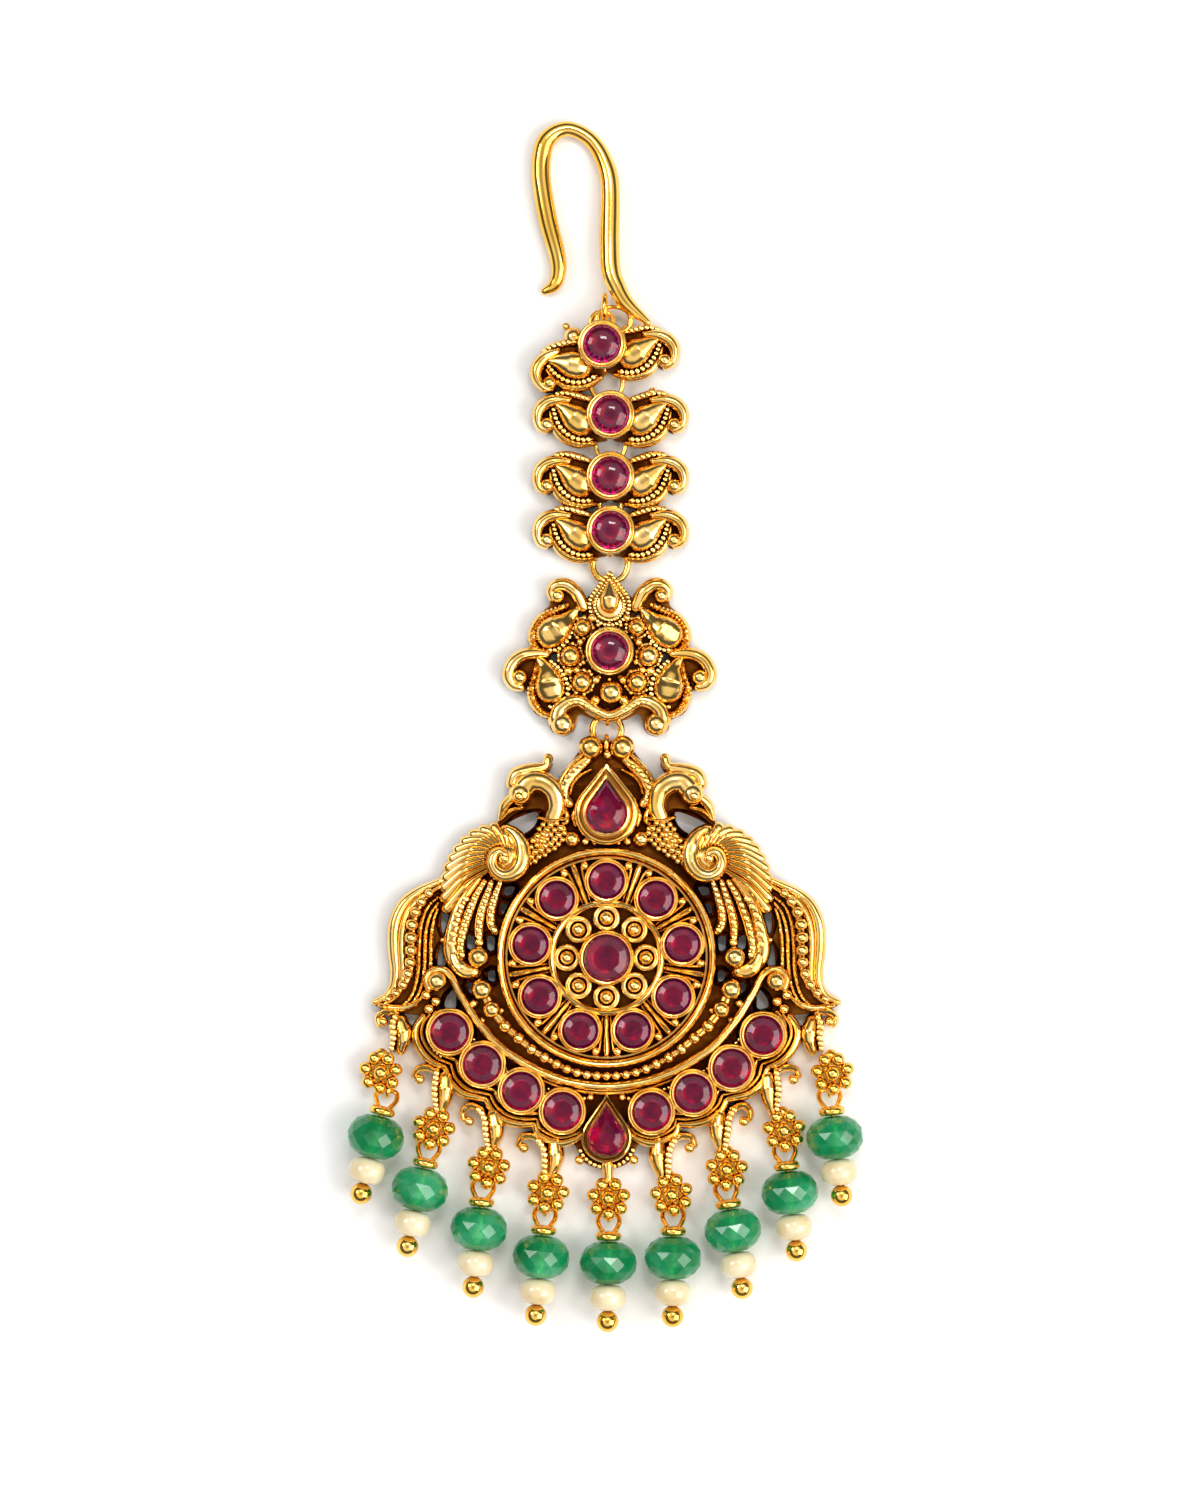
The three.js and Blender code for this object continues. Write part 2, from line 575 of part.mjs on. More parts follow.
// A rosette: lobes round a domed middle, and an eye for the drop's loop.
function rosette(drop) {
  const { centre, eye, down } = dropFrame(drop);
  const lobes = Array.from({ length: rosetteLobes * 2 }, (_, k) => {
    const radius = k % 2 ? rosetteRadius : rosetteRadius * 0.72;
    return turn([radius, 0], (180 * k) / rosetteLobes).map((value, axis) => value + centre[axis]);
  });
  const shoulder = rosetteBottom + (rosetteTop - rosetteBottom) * 0.65;
  const flower = loft([shrunk(lobes, centre, 1, rosetteBottom), shrunk(lobes, centre, 1, shoulder),
    shrunk(lobes, centre, 0, rosetteTop)]);
  const axis = new THREE.Vector3(-down[1], down[0], 0);
  const ring = wireRing([...eye, eyeHeight], dropEyeRadius, dropEyeWire, axis, eyeSteps);
  return [flower, ring];
}

// The places along a drop: its rosette, eye and cap, and its way down.
function dropFrame({ rosette: middle, toCap, lean }) {
  const centre = spot(middle, pendantPart);
  const angle = THREE.MathUtils.degToRad(lean);
  const down = [Math.sin(angle), -Math.cos(angle)];
  const cap = spot(toCap, rosettePart, 1, centre);
  const eye = [cap[0] - down[0] * loopLength, cap[1] - down[1] * loopLength];
  return { centre, eye, down, cap };
}

// A closed room in the metal for a jump ring, up to just above its wire.
function ringRoom([x, y], radius, wire) {
  const reach = (radius + wire + ringClearance) / Math.cos(Math.PI / roundSides) ** 0.8;
  return slab(circle([x, y], reach, roundSides), -reliefBase, eyeHeight + wire + ringClearance);
}

// Two eyes joined by a flat jump ring: the ring's centre and the eyes' places, from one body to the next.
function joint(from, fromReach, radius, toReach, toAxis) {
  const span = fromReach + 2 * radius + toReach;
  const aside = toAxis - from[0];
  const to = [toAxis, from[1] + Math.sqrt(span * span - aside * aside)];
  const way = [aside / span, (to[1] - from[1]) / span];
  const along = (distance) => [from[0] + way[0] * distance, from[1] + way[1] * distance];
  const [fromEye, ring, toEye] = [0, radius, 2 * radius].map((distance) => along(fromReach + distance));
  return { to, way, fromEye, ring, toEye };
}

function eyeRing([x, y], way, radius, wire) {
  const axis = new THREE.Vector3(-way[1], way[0], 0);
  return wireRing([x, y, Math.max(eyeHeight, radius + wire)], radius, wire, axis, eyeSteps);
}

// The stations of the chain, from the pendant's crown up to the top link.
const crownEye = [0, crownEyePlace * pendantPart];
const toEyes = { bottom: medallionEyes.bottom * medallionPart, top: medallionEyes.top * medallionPart };
const toMedallion = joint(crownEye, 0, pendantRingRadius, toEyes.bottom, medallionAxis);
const toThird = joint(toMedallion.to, toEyes.top, medallionRingRadius, linkEyeReach, linkAxis.third);
const toSecond = joint(toThird.to, linkEyeReach, thirdRingRadius, linkEyeReach, linkAxis.second);
const toFirst = joint(toSecond.to, linkEyeReach, secondRingRadius, linkEyeReach, linkAxis.first);
const toTop = joint(toFirst.to, linkEyeReach, firstRingRadius, topLinkEyeReach, linkAxis.top);

function pendant() {
  const { solids, pockets } = wheel();
  for (const half of [crownOutline, crescentOutline]) {
    solids.push(slab(wholeOutline(half, pendantPart), 0, plateThickness));
  }
  solids.push(...crescent());
  for (const side of [1, -1]) {
    for (const outline of [peacockOutline, wingOutline, tailOutline]) {
      solids.push(slab(spots(outline, pendantPart, side), 0, plateThickness));
    }
    solids.push(...crown(side), ...peacock(side), ...wing(side), ...tail(side));
    finials.forEach((row, place) => solids.push(...finial(side, row, place)));
    for (const [x, y, radius, height] of pendantBalls) {
      solids.push(ball(spot([x, y], pendantPart, side), radius * pendantPart, height));
    }
  }
  const dropSettings = [dropSetting(crownRuby), dropSetting(footRuby)];
  dropSettings.forEach(({ wall, pocket }) => {
    solids.push(wall);
    pockets.push(pocket);
  });
  const gaps = pendantGaps.flatMap((gap) => [1, -1].map((side) => opening(spots(gap, pendantPart, side))));
  const bedFloor = plateThickness + stoneClearance;
  const beds = crescentStones.map((row) => slab(stripOutline(row), bedFloor, throughTop));
  const room = ringRoom(toMedallion.ring, pendantRingRadius, largeRingWire);
  const frame = cut(join(solids), [...gaps, ...beds, ...pockets, room]);
  const eye = eyeRing(crownEye, toMedallion.way, largeEyeRadius, largeEyeWire);
  const postPath = [[0, crownEye[1] - largeEyeRadius - ringClearance * 5], [0, crownEye[1] - largeEyeRadius]];
  const post = ridge(postPath, [eyePostWidth, eyePostWidth], 0, eyeHeight * 2, boxSection);
  const stemTop = rosetteTop - lowReliefBase;
  const stemPath = spots(footStem, pendantPart);
  const stem = ridge(stemPath, [stemWidth, stemWidth], lowReliefBase, stemTop, roofSection);
  return join([frame, eye, post, stem, ...drops.flatMap(rosette)]);
}

const crownRuby = dropRuby(crownRubyTip);
const footRuby = dropRuby(footRubyTip);

// The room that a row of crescent rubies takes, a strip round its settings.
function stripOutline(row) {
  const path = spots(row, pendantPart);
  const reach = rubyRadius + stoneClearance + bezelWall + stripBedMargin;
  return outlineAround(path, reach);
}

function outlineAround(path, reach) {
  const steps = 3;
  const last = path.length - 1;
  const facing = (a, b) => Math.atan2(b[1] - a[1], b[0] - a[0]);
  const cap = (centre, angle) => Array.from({ length: steps + 1 }, (_, k) => {
    const turnBy = angle + Math.PI / 2 + (Math.PI * k) / steps;
    return [centre[0] + reach * Math.cos(turnBy), centre[1] + reach * Math.sin(turnBy)];
  });
  const aside = (i, hand) => {
    const angle = facing(path[i - 1], path[i + 1]) - (hand * Math.PI) / 2;
    return [path[i][0] + reach * Math.cos(angle), path[i][1] + reach * Math.sin(angle)];
  };
  const inner = path.slice(1, last).map((_, i) => i + 1);
  const start = cap(path[0], facing(path[0], path[1]));
  const end = cap(path[last], facing(path[last - 1], path[last]) + Math.PI);
  return [...start, ...inner.map((i) => aside(i, 1)), ...end, ...inner.reverse().map((i) => aside(i, -1))];
}

// Four rubies in their settings on one strip.
function stoneStrip(row) {
  const path = spots(row, pendantPart);
  const foot = plateThickness + stripGap;
  const settings = path.map((centre) => {
    const stone = circle(centre, rubyRadius, rubySides);
    const bezel = (rubyRadius + stoneClearance + bezelWall) / rubyRadius;
    const steps = [[bezel, foot], [bezel, bezelTop], [1, bezelTop], [tableShare, stripRubyTop]];
    return loft(steps.map(([share, height]) => shrunk(stone, centre, share, height)));
  });
  const bar = ridge(path, [stripBarWidth, stripBarWidth], foot, foot + stripBarHeight, roofSection);
  return join([bar, ...settings]);
}

function linkBody(centre, turns, lift, joints) {
  const wings = [1, -1].flatMap((side) => {
    const degrees = side > 0 ? turns.right : -turns.left;
    const put = (point) => spot(point, linkPart, side, centre, degrees);
    const tipSpot = put(wingLeaf.tip);
    const roundSpot = put(wingLeaf.round);
    const curlWidths = [scrollWidth * 0.7, scrollWidth, scrollWidth, scrollWidth * 0.9];
    const bandWidths = [scrollWidth * 0.7, scrollWidth * 0.9, scrollWidth * 0.7];
    const leaf = dropOutline(tipSpot, roundSpot, wingLeaf.radius * linkPart, 4);
    return [
      slab(wingPlate.map(put), 0, linkPlate),
      ridge(wingCurl.map(put), curlWidths, reliefBase, wingLeafTop, roofSection),
      ridge(wingBand.map(put), bandWidths, reliefBase, scrollTop, roofSection),
      puff(leaf, roundSpot, reliefBase, wingLeafTop),
    ];
  });
  const [foot, seat, top] = [linkPlate + lift, linkRubySeat + lift, linkCupTop + lift];
  const cup = roundSetting(centre, linkRubyRadius, foot, seat, top, rubySides);
  const core = slab(circle(centre, linkCoreRadius, ballSides), 0, foot + stripGap);
  const rooms = joints.map(({ ring, radius, wire }) => ringRoom(ring, radius, wire));
  const eyes = joints.flatMap(({ eye, way, wire }) => (wire > smallRingWire
    ? [eyeRing(eye, way, largeEyeRadius, largeEyeWire)]
    : [eyeRing(eye, way, smallEyeRadius, smallEyeWire), neck(centre, eye, way)]));
  return join([cut(join([...wings, cup.wall]), [cup.pocket, ...rooms]), core, ...eyes]);
}

// A short bar from a link's core to its eye.
function neck(centre, eye, way) {
  const stop = smallEyeRadius;
  const towards = Math.sign((eye[0] - centre[0]) * way[0] + (eye[1] - centre[1]) * way[1]);
  const end = [eye[0] - way[0] * stop * towards, eye[1] - way[1] * stop * towards];
  return ridge([centre, end], [neckBarWidth, neckBarWidth], eyeHeight / 2, eyeHeight * 1.3);
}

function medallion() {
  const centre = toMedallion.to;
  const put = (point, side) => spot(point, medallionPart, side, centre);
  const solids = [slab(wholeOutline(medallionOutline, medallionPart, centre), 0, medallionPlate)];
  const leafForm = (tip, round, radius, bottom) => {
    const outline = dropOutline(tip, round, radius * medallionPart, 4);
    return puff(outline, round, bottom, wingLeafTop);
  };
  for (const side of [1, -1]) {
    const row = (path) => path.map((point) => put(point, side));
    const wide = [scrollWidth * 0.8, scrollWidth, scrollWidth, scrollWidth * 0.8];
    const narrow = [scrollWidth * 0.7, scrollWidth, scrollWidth * 0.7];
    const raised = (path, widths, top) => ridge(row(path), widths, reliefBase, top, roofSection);
    solids.push(...medallionScrolls.map((path) => raised(path, wide, scrollTop)));
    solids.push(...medallionBands.map((path) => raised(path, narrow, fanRibTop)));
    for (const { tip, round } of medallionLeaves) {
      solids.push(leafForm(put(tip, side), put(round, side), medallionLeafRound, reliefBase));
    }
    for (const [x, y, radius, height] of medallionBalls) {
      solids.push(ball(put([x, y], side), radius * medallionPart, height));
    }
    solids.push(ridge(row(moustachePath), [moustacheWidth, moustacheWidth], lowReliefBase, leafTop));
  }
  const { tip, round, innerTip, innerRound } = medallionTopLeaf;
  const topLeaf = dropOutline(put(tip), put(round), topLeafRound * medallionPart, 5);
  solids.push(slab(topLeaf, lowReliefBase, medallionTopLeafTop));
  solids.push(leafForm(put(innerTip), put(innerRound), topLeafRound / 2, reliefBase));
  const [footX, footY, footRadius, footHeight] = medallionFootBall;
  solids.push(ball(put([footX, footY]), footRadius * medallionPart, footHeight));
  const levels = [lowReliefBase, linkRubySeat, medallionBezelTop];
  const setting = roundSetting(centre, linkRubyRadius, ...levels, rubySides);
  solids.push(setting.wall);
  const sideGap = (gap, side) => opening(gap.map((point) => put(point, side)));
  const gaps = medallionGaps.flatMap((gap) => [sideGap(gap, 1), sideGap(gap, -1)]);
  const rooms = [ringRoom(toMedallion.ring, pendantRingRadius, largeRingWire),
    ringRoom(toThird.ring, medallionRingRadius, largeRingWire)];
  const eyes = [eyeRing(toMedallion.toEye, toMedallion.way, largeEyeRadius, largeEyeWire),
    eyeRing(toThird.fromEye, toThird.way, largeEyeRadius, largeEyeWire)];
  return join([cut(join(solids), [setting.pocket, ...gaps, ...rooms]), ...eyes]);
}

// The hook: a wire of changing width, with an oval eye at its tail.
const topEye = [toTop.to[0], toTop.to[1] + linkCoreRadius + linkEyeRadius + 0.1];
const hookEye = [topEye[0] + hookEyeShift.x, topEye[1] + hookEyeShift.y];
function hook() {
  const path = hookPath.map(([x, y, share, height]) => ({
    place: new THREE.Vector3(hookEye[0] + x * hookPart, hookEye[1] + y * hookPart, height * wireDiameter),
    radius: (share * wireDiameter) / 2,
  }));
  const up = new THREE.Vector3(0, 0, 1);
  const rings = path.map(({ place, radius }, i) => {
    const after = path[Math.min(i + 1, path.length - 1)].place;
    const along = after.clone().sub(path[Math.max(i - 1, 0)].place).normalize();
    const aside = new THREE.Vector3().crossVectors(up, along).normalize();
    const over = new THREE.Vector3().crossVectors(along, aside);
    return circle([0, 0], radius, 6, Math.PI / 6).map(([a, b]) => (
      place.clone().addScaledVector(aside, a).addScaledVector(over, b).toArray()));
  });
  const eye = new THREE.TorusGeometry(1, (2 * hookEyeWire) / hookEyeWidth, 5, roundSides);
  eye.scale(hookEyeWidth / 2, hookEyeDepth / 2, hookEyeWidth / 2);
  eye.translate(hookEye[0], hookEye[1], hookEyeHeight);
  return join([loft(rings), solid(eye)]);
}

function topLink() {
  const { toEye: low, way, ring, to } = toTop;
  const joints = [{ eye: low, way, ring, radius: firstRingRadius, wire: smallRingWire }];
  const body = linkBody(to, topLinkTurns, topLinkLift, joints);
  const eye = wireRing([...topEye, linkEyeHeight], linkEyeRadius, linkEyeWire, new THREE.Vector3(0, 0, 1));
  const lump = ball(spot(topLinkLump, linkPart, 1, to), linkPart, plateThickness);
  return join([body, eye, lump]);
}

// The parts of a drop, laid along its own line: the pin in one piece, the bead and the pearl drilled.
function dropPlaces() {
  const beadMiddle = capThickness / 2 + dropGap + beadLength / 2;
  const pearlMiddle = beadMiddle + beadLength / 2 + dropGap + pearlLength / 2;
  const ballMiddle = pearlMiddle + pearlLength / 2 + dropGap + dropBallRadius;
  return { beadMiddle, pearlMiddle, ballMiddle };
}

// A body turned about the drop's line, from a closed profile of radius and distance from the cap.
function alongDrop(profile, { cap, down }, sides) {
  const points = profile.map(([radius, distance]) => new THREE.Vector2(radius, distance));
  const geometry = new THREE.LatheGeometry(points, sides);
  const way = new THREE.Vector3(down[0], down[1], 0);
  const facing = new THREE.Quaternion().setFromUnitVectors(new THREE.Vector3(0, 1, 0), way);
  return solid(geometry.applyQuaternion(facing).translate(cap[0], cap[1], beadRadius + beadClearance));
}

function drilled(radius, length, middle, shoulders) {
  const half = length / 2;
  const bands = shoulders.map(([share, place]) => [radius * share, middle + half * place]);
  return [[boreRadius, middle - half], ...bands, [boreRadius, middle + half], [boreRadius, middle - half]];
}

function pin(frame) {
  const { ballMiddle } = dropPlaces();
  const half = capThickness / 2;
  const shoulder = dropBallRadius * Math.SQRT1_2;
  const profile = [[0, -half], [capRadius, -half / 2], [capRadius, half / 2], [shaftRadius, half],
    [shaftRadius, ballMiddle - dropBallRadius], [shoulder, ballMiddle - shoulder],
    [dropBallRadius, ballMiddle], [shoulder, ballMiddle + shoulder], [0, ballMiddle + dropBallRadius]];
  return join([alongDrop(profile, frame, ballSides), dropLoop(frame)]);
}

// The wire loop above a cap: from the cap down to the rosette's eye, across it and back.
function dropLoop({ eye, down, cap }) {
  const aside = [-down[1], down[0]];
  const high = beadRadius + beadClearance;
  const point = (from, away, height) => {
    const [x, y] = from.map((value, axis) => value + aside[axis] * away);
    return new THREE.Vector3(x, y, height);
  };
  const wide = [eye[0] + down[0] * loopShoulder, eye[1] + down[1] * loopShoulder];
  const corners = [point(cap, loopRootHalf, high), point(wide, loopHalfWidth, eyeHeight),
    point(eye, 0, eyeHeight), point(wide, -loopHalfWidth, eyeHeight), point(cap, -loopRootHalf, high)];
  const rings = corners.map((place, i) => {
    const after = corners[Math.min(i + 1, corners.length - 1)];
    const along = after.clone().sub(corners[Math.max(i - 1, 0)]).normalize();
    const side = new THREE.Vector3().crossVectors(new THREE.Vector3(0, 0, 1), along);
    if (side.length() < 0.2) side.set(down[0], down[1], 0);
    side.normalize();
    const over = new THREE.Vector3().crossVectors(along, side);
    return circle([0, 0], loopWire, 5).map(([a, b]) => (
      place.clone().addScaledVector(side, a).addScaledVector(over, b).toArray()));
  });
  return loft(rings);
}

const group = new THREE.Group();

function add(name, body, finish) {
  const { vertProperties, triVerts } = body.getMesh();
  const geometry = new THREE.BufferGeometry();
  geometry.setAttribute('position', new THREE.Float32BufferAttribute(vertProperties, 3));
  geometry.setIndex([...triVerts]);
  geometry.computeVertexNormals();
  const mesh = new THREE.Mesh(geometry, new THREE.MeshStandardMaterial(finishes[finish]));
  mesh.name = name;
  group.add(mesh);
}

add('pendant', pendant(), 'gold');
wheelStones().forEach((centre, k) => {
  const stone = roundStone(centre, rubyRadius, rubySeat, bezelTop + wheelRubyRise, rubySides);
  add(`ruby_wheel_${k + 1}`, stone, 'ruby');
});
const centreRubyLevels = [rubySeat + centreRubyLift, bezelTop + centreRubyLift + rubyCrown];
add('ruby_centre', roundStone([0, 0], centreRubyRadius, ...centreRubyLevels, roundSides + 2), 'ruby');
add('ruby_crown', dropStone(crownRuby), 'ruby');
add('ruby_foot', dropStone(footRuby), 'ruby');
crescentStones.forEach((row, k) => add(`stones_crescent_${['right', 'left'][k]}`, stoneStrip(row), 'ruby'));

function linkStone(centre, lift) {
  return roundStone(centre, linkRubyRadius, linkRubySeat + lift, linkCupTop + lift + linkRubyRise, rubySides);
}

add('medallion', medallion(), 'gold');
add('ruby_medallion', linkStone(toMedallion.to, 0), 'ruby');

// The rings of the chain, from the pendant up, with their joints.
const chain = [
  { name: 'ring_medallion_pendant', at: toMedallion, radius: pendantRingRadius, wire: largeRingWire },
  { name: 'ring_4_medallion', at: toThird, radius: medallionRingRadius, wire: largeRingWire },
  { name: 'ring_3_4', at: toSecond, radius: thirdRingRadius, wire: smallRingWire },
  { name: 'ring_2_3', at: toFirst, radius: secondRingRadius, wire: smallRingWire },
  { name: 'ring_1_2', at: toTop, radius: firstRingRadius, wire: smallRingWire },
];
const upright = new THREE.Vector3(0, 0, 1);
for (const { name, at, radius, wire } of chain) {
  add(name, wireRing([...at.ring, eyeHeight], radius, wire, upright), 'brightGold');
}
for (const [k, name] of ['link_4', 'link_3', 'link_2'].entries()) {
  const [low, high] = [chain[k + 1], chain[k + 2]];
  const joints = [{ ...low, ...low.at, eye: low.at.toEye }, { ...high, ...high.at, eye: high.at.fromEye }];
  add(name, linkBody(low.at.to, { right: 0, left: 0 }, 0, joints), 'gold');
  add(`ruby_${name}`, linkStone(low.at.to, 0), 'ruby');
}
add('link_1', topLink(), 'gold');
add('ruby_link_1', linkStone(toTop.to, topLinkLift), 'ruby');

const topRingPlace = [topEye[0] + topRingShift.x, topEye[1] + topRingShift.y, topRingHeight];
add('ring_top', wireRing(topRingPlace, topRingRadius, topRingWire, new THREE.Vector3(1, 0, 0)), 'brightGold');
add('hook', hook(), 'brightGold');

drops.forEach((drop, k) => {
  const frame = dropFrame(drop);
  const { beadMiddle, pearlMiddle } = dropPlaces();
  add(`pin_${k + 1}`, pin(frame), 'brightGold');
  const beadSection = drilled(beadRadius, beadLength, beadMiddle, beadShoulders);
  add(`bead_${k + 1}`, alongDrop(beadSection, frame, roundSides), 'green');
  const pearlSection = drilled(pearlRadius, pearlLength, pearlMiddle, pearlShoulders);
  add(`pearl_${k + 1}`, alongDrop(pearlSection, frame, roundSides), 'pearl');
});

export default group;
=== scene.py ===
"""A maang tikka, dressed around its CAD model: fine relief, cut stones, pearls and finishes."""
import math

import bmesh
import bpy
import numpy as np
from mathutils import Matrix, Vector


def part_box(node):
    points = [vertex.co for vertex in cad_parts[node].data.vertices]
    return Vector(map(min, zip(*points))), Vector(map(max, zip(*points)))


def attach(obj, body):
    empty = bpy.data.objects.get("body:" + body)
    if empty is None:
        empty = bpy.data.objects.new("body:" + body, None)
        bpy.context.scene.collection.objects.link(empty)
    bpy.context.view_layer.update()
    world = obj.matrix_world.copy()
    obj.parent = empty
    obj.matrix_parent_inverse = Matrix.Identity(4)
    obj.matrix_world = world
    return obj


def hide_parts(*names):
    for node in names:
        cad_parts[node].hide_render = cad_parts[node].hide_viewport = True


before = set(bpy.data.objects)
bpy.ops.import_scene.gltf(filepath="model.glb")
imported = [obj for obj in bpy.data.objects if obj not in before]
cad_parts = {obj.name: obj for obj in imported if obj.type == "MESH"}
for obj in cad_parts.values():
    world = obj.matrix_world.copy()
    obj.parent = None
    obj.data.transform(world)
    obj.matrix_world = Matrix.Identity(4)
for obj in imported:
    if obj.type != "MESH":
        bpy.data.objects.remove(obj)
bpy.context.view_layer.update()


def middle(node):
    low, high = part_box(node)
    return (low + high) / 2


# The tables below count in parts: the top ruby of the wheel stands 7.7 parts from the centre one.
WHEEL_STONE_CIRCLE = 7.7
PART = (middle("ruby_wheel_1") - middle("ruby_centre")).xy.length / WHEEL_STONE_CIRCLE


def parts(vector):
    return [value / PART for value in vector]


# Levels of the pendant and the chain, above the table.
PLATE_TOP = 1.4
WHEEL_FLOOR = 1.75
WHEEL_RADIUS = 11
BEZEL_TOP = 3.2
RUBY_RADIUS = 1.78
CRESCENT_RADIUS = 1.9
WHEEL_STONES = 9
CUPS = 8
CUP_CIRCLE = 3.95


class Skin:
    """Points and faces of one piece, in parts."""

    def __init__(self):
        self.points = []
        self.faces = []

    def add(self, points, faces):
        start = len(self.points)
        self.points.extend(tuple(point) for point in points)
        self.faces.extend(tuple(start + i for i in face) for face in faces)

    def rings(self, rows):
        """Rings of equally many points, joined side by side and capped."""
        rows = np.asarray(rows, float)
        count, around = rows.shape[:2]
        faces = []
        for first in range(0, (count - 1) * around, around):
            for k in range(around):
                n = (k + 1) % around
                faces.append((first + k, first + n, first + around + n, first + around + k))
        faces.append(tuple(range(around))[::-1])
        faces.append(tuple(range((count - 1) * around, count * around)))
        self.add(rows.reshape(-1, 3), faces)


def at(points, side=1, centre=(0, 0), degrees=0):
    """Points of a table on the real piece: mirrored by the side, turned and moved."""
    rows = np.array(points, float)
    turn = math.radians(degrees)
    x = rows[..., 0] * side
    y = rows[..., 1].copy()
    rows[..., 0] = centre[0] + x * math.cos(turn) - y * math.sin(turn)
    rows[..., 1] = centre[1] + x * math.sin(turn) + y * math.cos(turn)
    return rows


def smooth(path, step=0.2, closed=False):
    """A smooth curve through rows of numbers, cut into short steps."""
    rows = np.asarray(path, float)
    if closed:
        padded = np.vstack([rows[-1:], rows, rows[:2]])
    else:
        padded = np.vstack([2 * rows[:1] - rows[1:2], rows, 2 * rows[-1:] - rows[-2:-1]])
    runs = []
    for a, b, c, d in zip(padded, padded[1:], padded[2:], padded[3:]):
        steps = max(2, math.ceil(np.linalg.norm((c - b)[:2]) / step))
        t = (np.arange(steps) / steps)[:, None]
        runs.append(b + 0.5 * t * (c - a + t * (2 * a - 5 * b + 4 * c - d + t * (3 * (b - c) + d - a))))
    if not closed:
        runs.append(rows[-1:])
    return np.vstack(runs)


def spread(values, count):
    return np.interp(np.linspace(0, 1, count), np.linspace(0, 1, len(values)), values)


def headings(line):
    way = np.gradient(line, axis=0)
    return way / np.linalg.norm(way, axis=1)[:, None]


def lengths(line):
    return np.concatenate([[0], np.cumsum(np.linalg.norm(np.diff(line, axis=0), axis=1))])


END_STEPS = (0.97, 0.8, 0.45)


def sweep(skin, path, widths, low, tops, ripple=None, crown=0.45, step=0.2, around=9):
    """A domed band along a flat path, with round ends. A ripple is its depth and its pitch."""
    line = smooth(path, step)
    way = headings(line)
    count = len(line)
    half = spread(widths, count) / 2
    rise = spread(np.atleast_1d(tops), count) - low
    if ripple:
        depth, pitch = ripple
        rise = rise * (1 - depth * (0.5 + 0.5 * np.cos(2 * math.pi * lengths(line) / pitch)))
    stations = [(line[0] - way[0] * half[0] * s, way[0], half[0], rise[0], math.sqrt(1 - s * s)) for s in END_STEPS]
    stations += [(line[i], way[i], half[i], rise[i], 1) for i in range(count)]
    stations += [(line[-1] + way[-1] * half[-1] * s, way[-1], half[-1], rise[-1], math.sqrt(1 - s * s))
                 for s in reversed(END_STEPS)]
    angle = np.linspace(0, math.pi, around)
    rows = []
    for place, heading, reach, height, share in stations:
        aside = np.cos(angle) * reach * share
        up = low + height * np.sin(angle) ** crown * math.sqrt(share)
        rows.append(np.column_stack([place[0] - heading[1] * aside, place[1] + heading[0] * aside, up]))
    skin.rings(rows)


def tube(skin, path, radii, around=12, step=0.3):
    """A round wire along a path in space."""
    line = smooth(path, step)
    way = headings(line)
    reach = spread(radii, len(line))
    angle = np.linspace(0, 2 * math.pi, around, endpoint=False)
    rows = []
    aside = np.cross((0, 0, 1), way[0])
    if np.linalg.norm(aside) < 0.1:
        aside = np.array((1.0, 0, 0))
    for place, heading, radius in zip(line, way, reach):
        aside = aside - heading * np.dot(aside, heading)
        aside = aside / np.linalg.norm(aside)
        over = np.cross(heading, aside)
        rows.append(place + radius * (np.outer(np.cos(angle), aside) + np.outer(np.sin(angle), over)))
    ends = [(rows[0], line[0], way[0], -reach[0]), (rows[-1], line[-1], way[-1], reach[-1])]
    caps = [[place + (row - place) * math.sqrt(1 - s * s) + heading * out * s for s in END_STEPS]
            for row, place, heading, out in ends]
    skin.rings(caps[0] + rows + caps[1][::-1])


def ball(skin, place, radius, around=16, rows=9, flat=1):
    """A ball, a little squashed where flat is under 1."""
    tilt = np.linspace(0.04, math.pi - 0.04, rows)
    turn = np.linspace(0, 2 * math.pi, around, endpoint=False)
    skin.rings([np.column_stack([place[0] + radius * math.sin(t) * np.cos(turn),
                                 place[1] + radius * math.sin(t) * np.sin(turn),
                                 np.full(around, place[2] - radius * flat * math.cos(t))]) for t in tilt])


def grains(skin, path, radii, height, gap=1.0):
    """A row of touching grains along a path. Their size runs through the given radii."""
    line = smooth(path, 0.05)
    along = lengths(line)
    place = radii[0]
    while place < along[-1]:
        share = place / along[-1]
        radius = float(np.interp(share, np.linspace(0, 1, len(radii)), radii))
        x, y = (np.interp(place, along, line[:, axis]) for axis in (0, 1))
        ball(skin, (x, y, height), radius, 8, 5)
        place += 2 * radius * gap


def shell(skin, outline, centre, low, top, crown=0.5, steps=(1, 0.97, 0.88, 0.72, 0.5, 0.25, 0.04)):
    """A puffed form over an outline, highest at its centre."""
    outline = np.asarray(outline, float)
    rows = []
    for share in steps:
        flat = np.asarray(centre) + (outline - centre) * share
        height = low + (top - low) * (1 - share ** 2) ** crown
        rows.append(np.column_stack([flat, np.full(len(flat), height)]))
    skin.rings(rows)


def drop_outline(tip, round_end, radius, steps=24, extra=0):
    """The outline of a drop: a tip, and an arc round the other end. Extra grows it all round."""
    tip, round_end = np.asarray(tip, float), np.asarray(round_end, float)
    reach = np.linalg.norm(tip - round_end)
    touch = math.acos(min(radius / reach, 1))
    grown = tip + (tip - round_end) / reach * extra * 1.4
    facing = math.atan2(*(tip - round_end)[::-1])
    angle = facing + touch + (2 * math.pi - 2 * touch) * np.linspace(0, 1, steps)
    arc = round_end + (radius + extra) * np.column_stack([np.cos(angle), np.sin(angle)])
    return np.vstack([grown, (grown * 2 + arc[0]) / 3, (grown + arc[0] * 2) / 3, arc,
                      (grown + arc[-1] * 2) / 3, (grown * 2 + arc[-1]) / 3])


